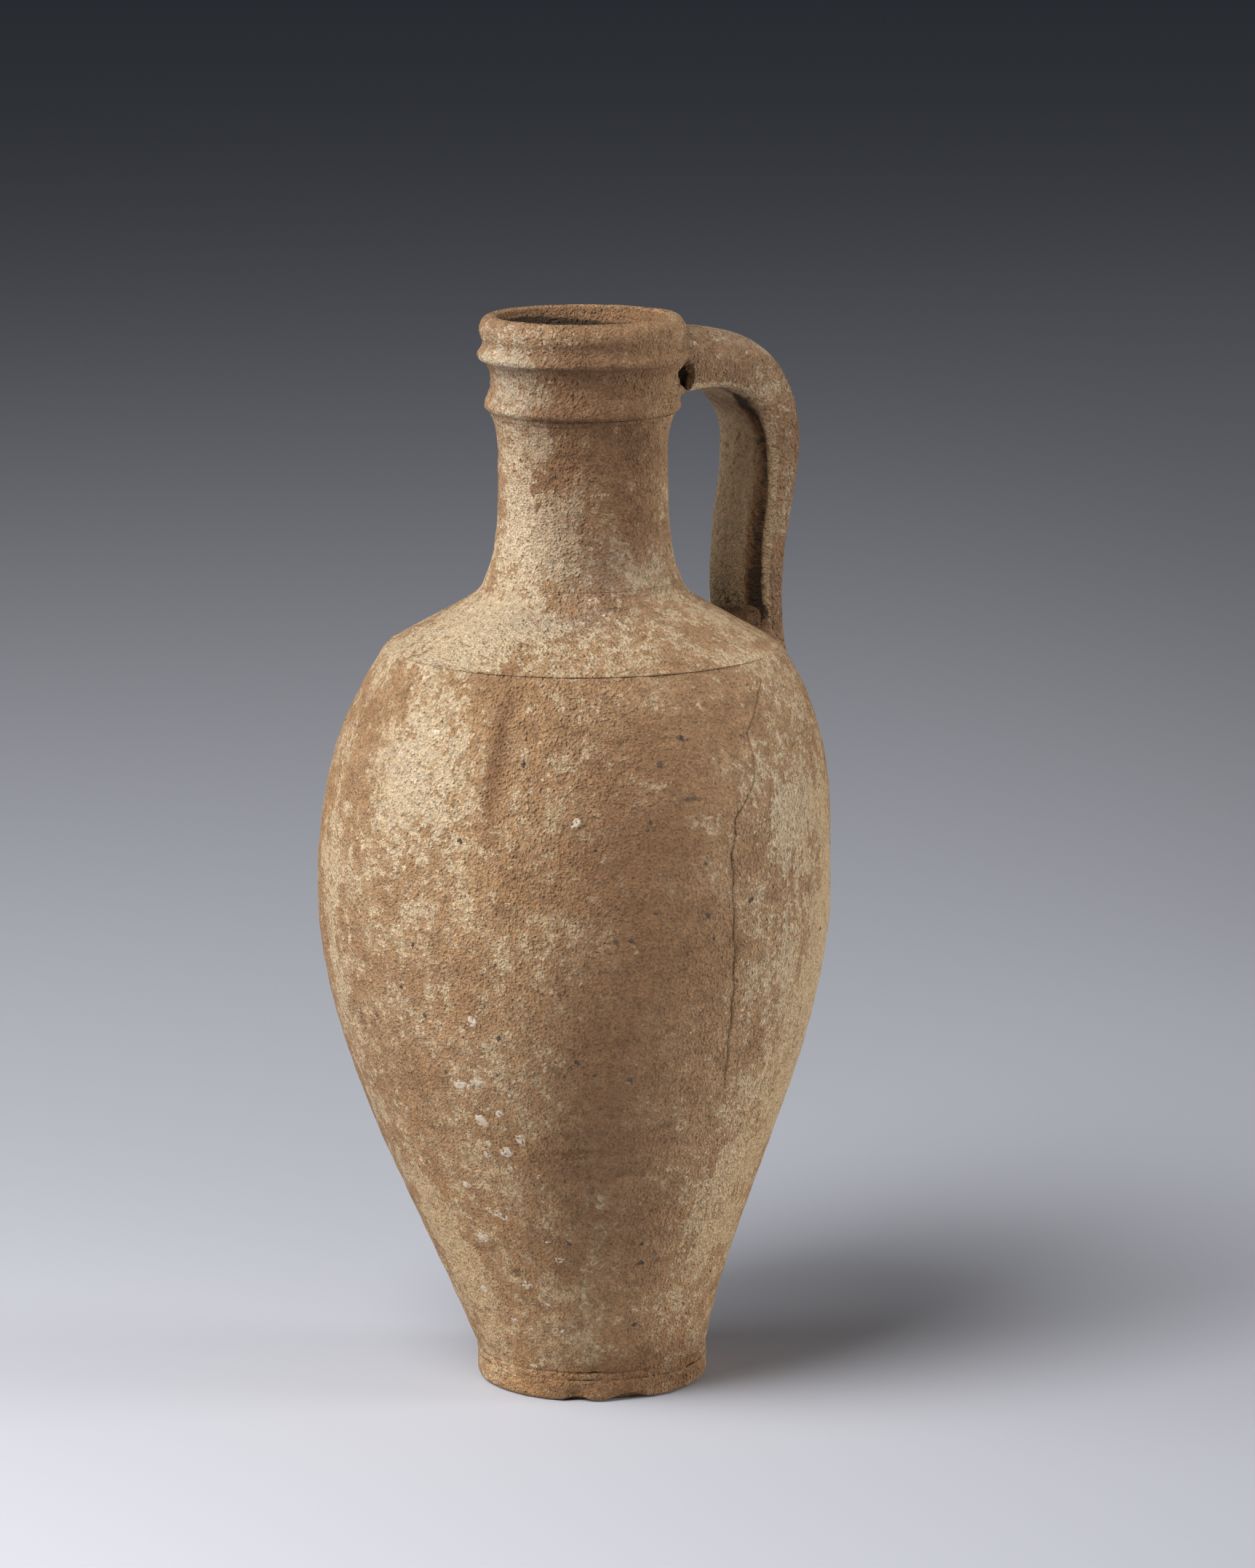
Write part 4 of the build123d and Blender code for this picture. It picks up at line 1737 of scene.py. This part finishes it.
    def press(self, rows: np.ndarray) -> np.ndarray:
        """Press finger dents and the open pocket into the strap's sides.

        Args:
            rows: Points by row and column.

        Returns:
            The pressed points.
        """
        x, y, z = np.moveaxis(rows, -1, 0)
        y = y + self.hollow(x, z) * self.pocket_depth * (y < 0)
        ripple = np.sin(z * 0.31 + y * 0.2) * np.sin(x * 0.23 - y * 0.33 + 1.3)
        y = y + 0.25 * ripple * np.sign(y) * (np.abs(y) > 10)
        return np.stack([x, y, z], axis=-1)

    def paint(self, skin: Skin, rows: np.ndarray, share: np.ndarray) -> None:
        """Paint the strap, with painted shade along its furrow and under its bend, and painted light on its
        inner face.

        Args:
            skin: Skin of the strap.
            rows: Points by row and column.
            share: Share of the strap at each row.
        """
        count = rows.shape[0] * rows.shape[1]
        along = np.repeat(share, rows.shape[1], axis=1).ravel()
        x, y, z = skin.at[:count].T
        inward, near, up = -skin.normal[:count, 0], -skin.normal[:count, 1], skin.normal[:count, 2]
        inner = smooth(inward, 0.2, 0.8) * (along > 0.25) + smooth(-up, 0.3, 0.9) * (along < 0.4)
        inner = np.clip(inner, 0, 1)
        # Painted shade: a dark band along the furrow where the inner face meets the near side.
        furrow = np.exp(-(((y + 8.6 + 1.2 * smooth(along, *self.straightens)) / 3.4) ** 2)) * inner
        # Painted shade too: beside the furrow the slip thins and the colour turns brown.
        edge = np.exp(-(((y + 9.0) / 4.5) ** 2)) * smooth(along, *self.furrow_starts)
        rim = smooth(-y, 12.0, 14.0) * smooth(along, 0.25, 0.40)
        # The inner face also darkens towards the lower root.
        root = smooth(along, 0.74, 0.98)
        beside = smooth(near, 0.4, 0.9) * (1 - inner)
        # Painted shade under the strap's bend, on its inner face.
        elbow = np.exp(-(((along - 0.34) / 0.07) ** 2)) * inner
        soil_and_shade = 0.02 + 0.12 * inner + 0.50 * furrow + 0.36 * root * inner + 0.25 * elbow
        painted = {
            # The inner face takes extra pale slip and loses its brown: partly real slip, partly painted
            # light.
            Coat.SLIP: 0.46 + 0.66 * inner - 0.55 * edge + 0.14 * rim,
            Coat.OCHRE: 0.60 * inner,
            Coat.STAIN_AND_SHADE: 0.30 * (1 - inner) + 0.15 * beside + 0.6 * elbow + 1.0 * edge,
            Coat.SOIL_AND_SHADE: soil_and_shade + 0.8 * self.hollow(x, z) * (y < 0),
            Coat.FILM: 0.25 * smooth(up, 0.4, 0.9) + 0.12 * (1 - inner),
        }
        for coat, amount in painted.items():
            skin.layers[coat][:count] = amount

    def hollow(self, x: np.ndarray, z: np.ndarray) -> np.ndarray:
        """Weigh the open pocket beside the upper root and the small hole above it.

        Args:
            x: Places towards the handle.
            z: Levels.

        Returns:
            Weight of each place, 1 in the middle of the pocket.
        """
        across, up = x - FORM.neck_lean - self.pocket_out, z - self.pocket_level
        angle = np.arctan2(up, across)
        ragged = 1 + 0.18 * np.sin(3 * angle + 0.6) + 0.12 * np.sin(5 * angle)
        large = ((across + 0.18 * up) / 2.5) ** 2 + (up / 5.2) ** 2
        small = ((across - 1.2) / 0.9) ** 2 + ((up - 8.2) / 1.4) ** 2
        return np.maximum(smooth(1 - large / ragged, 0.0, 0.55), 0.6 * smooth(1 - small, 0.0, 0.8))

    def smear(self, shop: Workshop, surface: np.ndarray, touch: np.ndarray, root: Root) -> None:
        """Build the clay wiped round one root.

        Args:
            shop: Workshop that finishes it.
            surface: The strap's points by station and column.
            touch: Station where each column meets the jug.
            root: Root of the handle.
        """
        joint = self.sample(surface, touch[None].astype(float))[0]
        middle = joint.mean(axis=0)
        angle = np.linspace(0, math.tau, self.columns, endpoint=False)
        wobble = 1 + 0.25 * np.sin(3 * angle + 0.7) + 0.18 * np.sin(7 * angle + 2.0)
        outer = smooth(np.sin(angle), -0.2, 0.8)
        climb = (root.climb + root.outer_climb * outer) * wobble
        spread = (root.spread + root.outer_spread * outer) * wobble
        upper = root is UPPER_ROOT
        if upper:
            clear = np.exp(-(((joint[:, 2] - self.pocket_level) / 4.5) ** 2)) * (joint[:, 1] < -6)
            climb, spread = climb * (1 - 0.9 * clear), spread * (1 - 0.9 * clear)
        high = self.sample(surface, touch[None] + root.way * climb[None] / self.station)[0]
        flank = unit(joint - middle)
        off_strap = unit(high - high.mean(axis=0))
        wide = self.settle(joint + flank * spread[:, None])
        share = np.linspace(0, 1, self.smear_rows)[:, None, None]
        knee = joint + flank * 0.25
        skirt = high * (1 - share) ** 2 + 2 * knee * share * (1 - share) + wide * share**2
        inward = unit(np.stack([FORM.axis(wide[:, 2]), np.zeros(len(wide)), wide[:, 2]], axis=1) - wide)
        under = [wide + inward * 1.2, joint + inward * 1.5 - flank * 0.8, high - off_strap * 1.2]
        rows = np.concatenate([skirt, np.stack(under)])
        skin = shop.grid(root.name, rows if upper else rows[::-1], shop.lute_clay, capped=False)
        skin.layers[Coat.SLIP] += 0.36
        skin.layers[Coat.STAIN_AND_SHADE] += 0.35
        # Painted shade: the upper smear darkens on its downward faces, and the lower one towards the corner
        # where it meets the shoulder.
        if upper:
            corner = smooth(-skin.normal[:, 2], 0.2, 0.8)
        else:
            corner = smooth(-(skin.at[:, 0] - middle[0]), -1.0, 4.0)
        skin.layers[Coat.SOIL_AND_SHADE] += 0.02 + 0.45 * corner
        shop.keep(skin, Slot.SLIP, root.node)


@dataclass
class Lumps:
    """Lumps of lime or dark grit that show at the surface of the clay."""

    name: str
    groups: Sequence[Sprinkle]
    flatness: float
    lift: float
    seed: int
    roughness: float = 1.0
    lowest: float = 10.0
    below_collar: float = 4.0

    def places(self) -> tuple[Line, Line, Line]:
        """Draw the lumps of each group about its place.

        Returns:
            Level, bearing and size of every lump.
        """
        chance = np.random.default_rng(self.seed)
        found = []
        for group in self.groups:
            level = group.level + group.tall * chance.standard_normal(group.count)
            level = np.clip(level, self.lowest, FORM.collar_base - self.below_collar)
            round_way = group.wide * chance.standard_normal(group.count)
            bearing = group.bearing + np.degrees(round_way / FORM.radius(level))
            found.append(np.stack([level, bearing, group.size * chance.uniform(0.5, 1.5, group.count)]))
        return tuple(np.concatenate(found, axis=1))

    def build(self, shop: Workshop, material: bpy.types.Material) -> None:
        """Scatter the lumps and settle them on the finished clay.

        Args:
            shop: Workshop that finishes them.
            material: Material of the lumps.
        """
        level, bearing, size = self.places()
        radius = FORM.radius(level)
        slope = FORM.radius(level + 0.5) - FORM.radius(level - 0.5)
        turn = np.radians(bearing)
        facing = unit(np.stack([np.cos(turn), np.sin(turn), -slope], axis=1))
        at = np.stack([FORM.axis(level) + radius * np.cos(turn), radius * np.sin(turn), level], axis=1)
        surface = np.concatenate(shop.surface)
        nearest = np.array([np.square(surface - place).sum(axis=1).argmin() for place in at])
        at += facing * (((surface[nearest] - at) * facing).sum(axis=1) + self.lift)[:, None]
        piece = block(self.name, at * MM)
        layer = piece.data.attributes.new("facing", "FLOAT_VECTOR", "POINT")
        layer.data.foreach_set("vector", facing.ravel())
        layer = piece.data.attributes.new("size", "FLOAT", "POINT")
        layer.data.foreach_set("value", size * MM)
        form = {"Flatness": self.flatness, "Roughness": self.roughness * MM, "Seed": self.seed}
        shop.inclusions.run(piece, form | {"Material": material})
        shop.keep(Skin(piece.data), Slot.CLAY)


@dataclass(frozen=True)
class Lamp:
    """A soft square light, in metres and watts, that faces a level on the jug's axis."""

    name: str
    at: tuple[float, float, float]
    aim_level: float
    size: float
    power: float
    colour: Colour = (1.0, 0.985, 0.965)

    def build(self) -> bpy.types.Object:
        """Add the light.

        Returns:
            The light.
        """
        lamp = bpy.data.lights.new(self.name, "AREA")
        lamp.shape = "RECTANGLE"
        lamp.size = lamp.size_y = self.size
        lamp.energy = self.power
        lamp.color = self.colour
        made = bpy.data.objects.new(self.name, lamp)
        made.location = self.at
        aim = Vector((0.0, 0.0, self.aim_level)) - Vector(self.at)
        made.rotation_euler = aim.to_track_quat("-Z", "Y").to_euler()
        bpy.context.scene.collection.objects.link(made)
        return made


@dataclass(frozen=True)
class Studio:
    """Pale floor with a painted pool of light, soft daylight from the left and the camera."""

    floor_half: float = 9.0
    # The floor's colours paint a pool of light that fades away from a place beside the jug, and more to the
    # right.
    paper_near: Colour = (0.605, 0.621, 0.682)
    paper_middle: Colour = (0.458, 0.474, 0.532)
    paper_far: Colour = (0.397, 0.422, 0.486)
    paper_brightest: tuple[float, float, float] = (-0.42, -0.08, 0.0)
    lamps: tuple[Lamp, Lamp, Lamp] = (
        Lamp("key", (-0.815, -0.205, 1.30), 0.10, 0.78, 21.8),
        Lamp("side", (-1.43, 0.30, 0.77), 0.14, 1.3, 20.3),
        Lamp("fill", (2.02, -1.53, 0.40), 0.17, 0.8, 51.0),
    )
    room_colour: tuple[float, float, float, float] = (0.88, 0.95, 1.08, 1.0)
    room_light: float = 0.045
    room_seen: float = 0.020
    camera_at: tuple[float, float, float] = (-0.8562, -1.3369, 0.481)
    camera_azimuth: float = -33.0
    camera_pitch: float = 11.13
    lens: float = 134.0
    sensor: float = 36.0
    sight: float = 60.0

    def build(self) -> None:
        """Set up the floor, lights, world and camera."""
        half = self.floor_half
        corners = np.array([(-half, -half, 0.0), (half, -half, 0.0), (half, half, 0.0), (-half, half, 0.0)])
        floor = block("floor", corners, [(0, 1, 2, 3)])
        paper = PaperFinish("paper", self.paper_near, self.paper_middle, self.paper_far, self.paper_brightest)
        floor.data.materials.append(paper.material())
        key, side, fill = (lamp.build() for lamp in self.lamps)
        self.sky()
        self.camera()

    def sky(self) -> None:
        """Give the world a low even light, with a dark backdrop behind the floor."""
        world = bpy.data.worlds.new("room")
        bpy.context.scene.world = world
        world.use_nodes = True
        bench = Bench(world.node_tree)
        seen = bench.node("ShaderNodeLightPath", output="Is Camera Ray")
        strength = self.room_light - seen * (self.room_light - self.room_seen)
        background = world.node_tree.nodes["Background"]
        background.inputs["Color"].default_value = self.room_colour
        world.node_tree.links.new(strength.socket, background.inputs["Strength"])

    def camera(self) -> None:
        """Place the camera and set the view."""
        data = bpy.data.cameras.new("camera")
        data.sensor_width = self.sensor
        data.lens = self.lens
        data.clip_end = self.sight
        made = bpy.data.objects.new("camera", data)
        made.location = self.camera_at
        azimuth, pitch = math.radians(self.camera_azimuth), math.radians(self.camera_pitch)
        forward = Vector(
            (-math.sin(azimuth) * math.cos(pitch), math.cos(azimuth) * math.cos(pitch), -math.sin(pitch))
        )
        made.rotation_euler = forward.to_track_quat("-Z", "Y").to_euler()
        scene = bpy.context.scene
        scene.collection.objects.link(made)
        scene.camera = made
        scene.view_settings.view_transform = "Standard"


def main() -> None:
    """Build the pieces and the studio."""
    logging.basicConfig(level=logging.INFO, format="%(name)s: %(message)s")
    shop = Workshop()
    for part in (Foot(), ThrownWall(), ShoulderCap(), Neck(), StrapHandle()):
        part.build(shop)
    Lumps("lime_spots", LIME_SPOTS, 0.10, -0.09, 3).build(shop, shop.lime)
    Lumps("dark_grit", DARK_SPOTS, 0.34, -0.05, 12).build(shop, shop.dark)
    Studio().build()


if __name__ == "__main__":
    main()
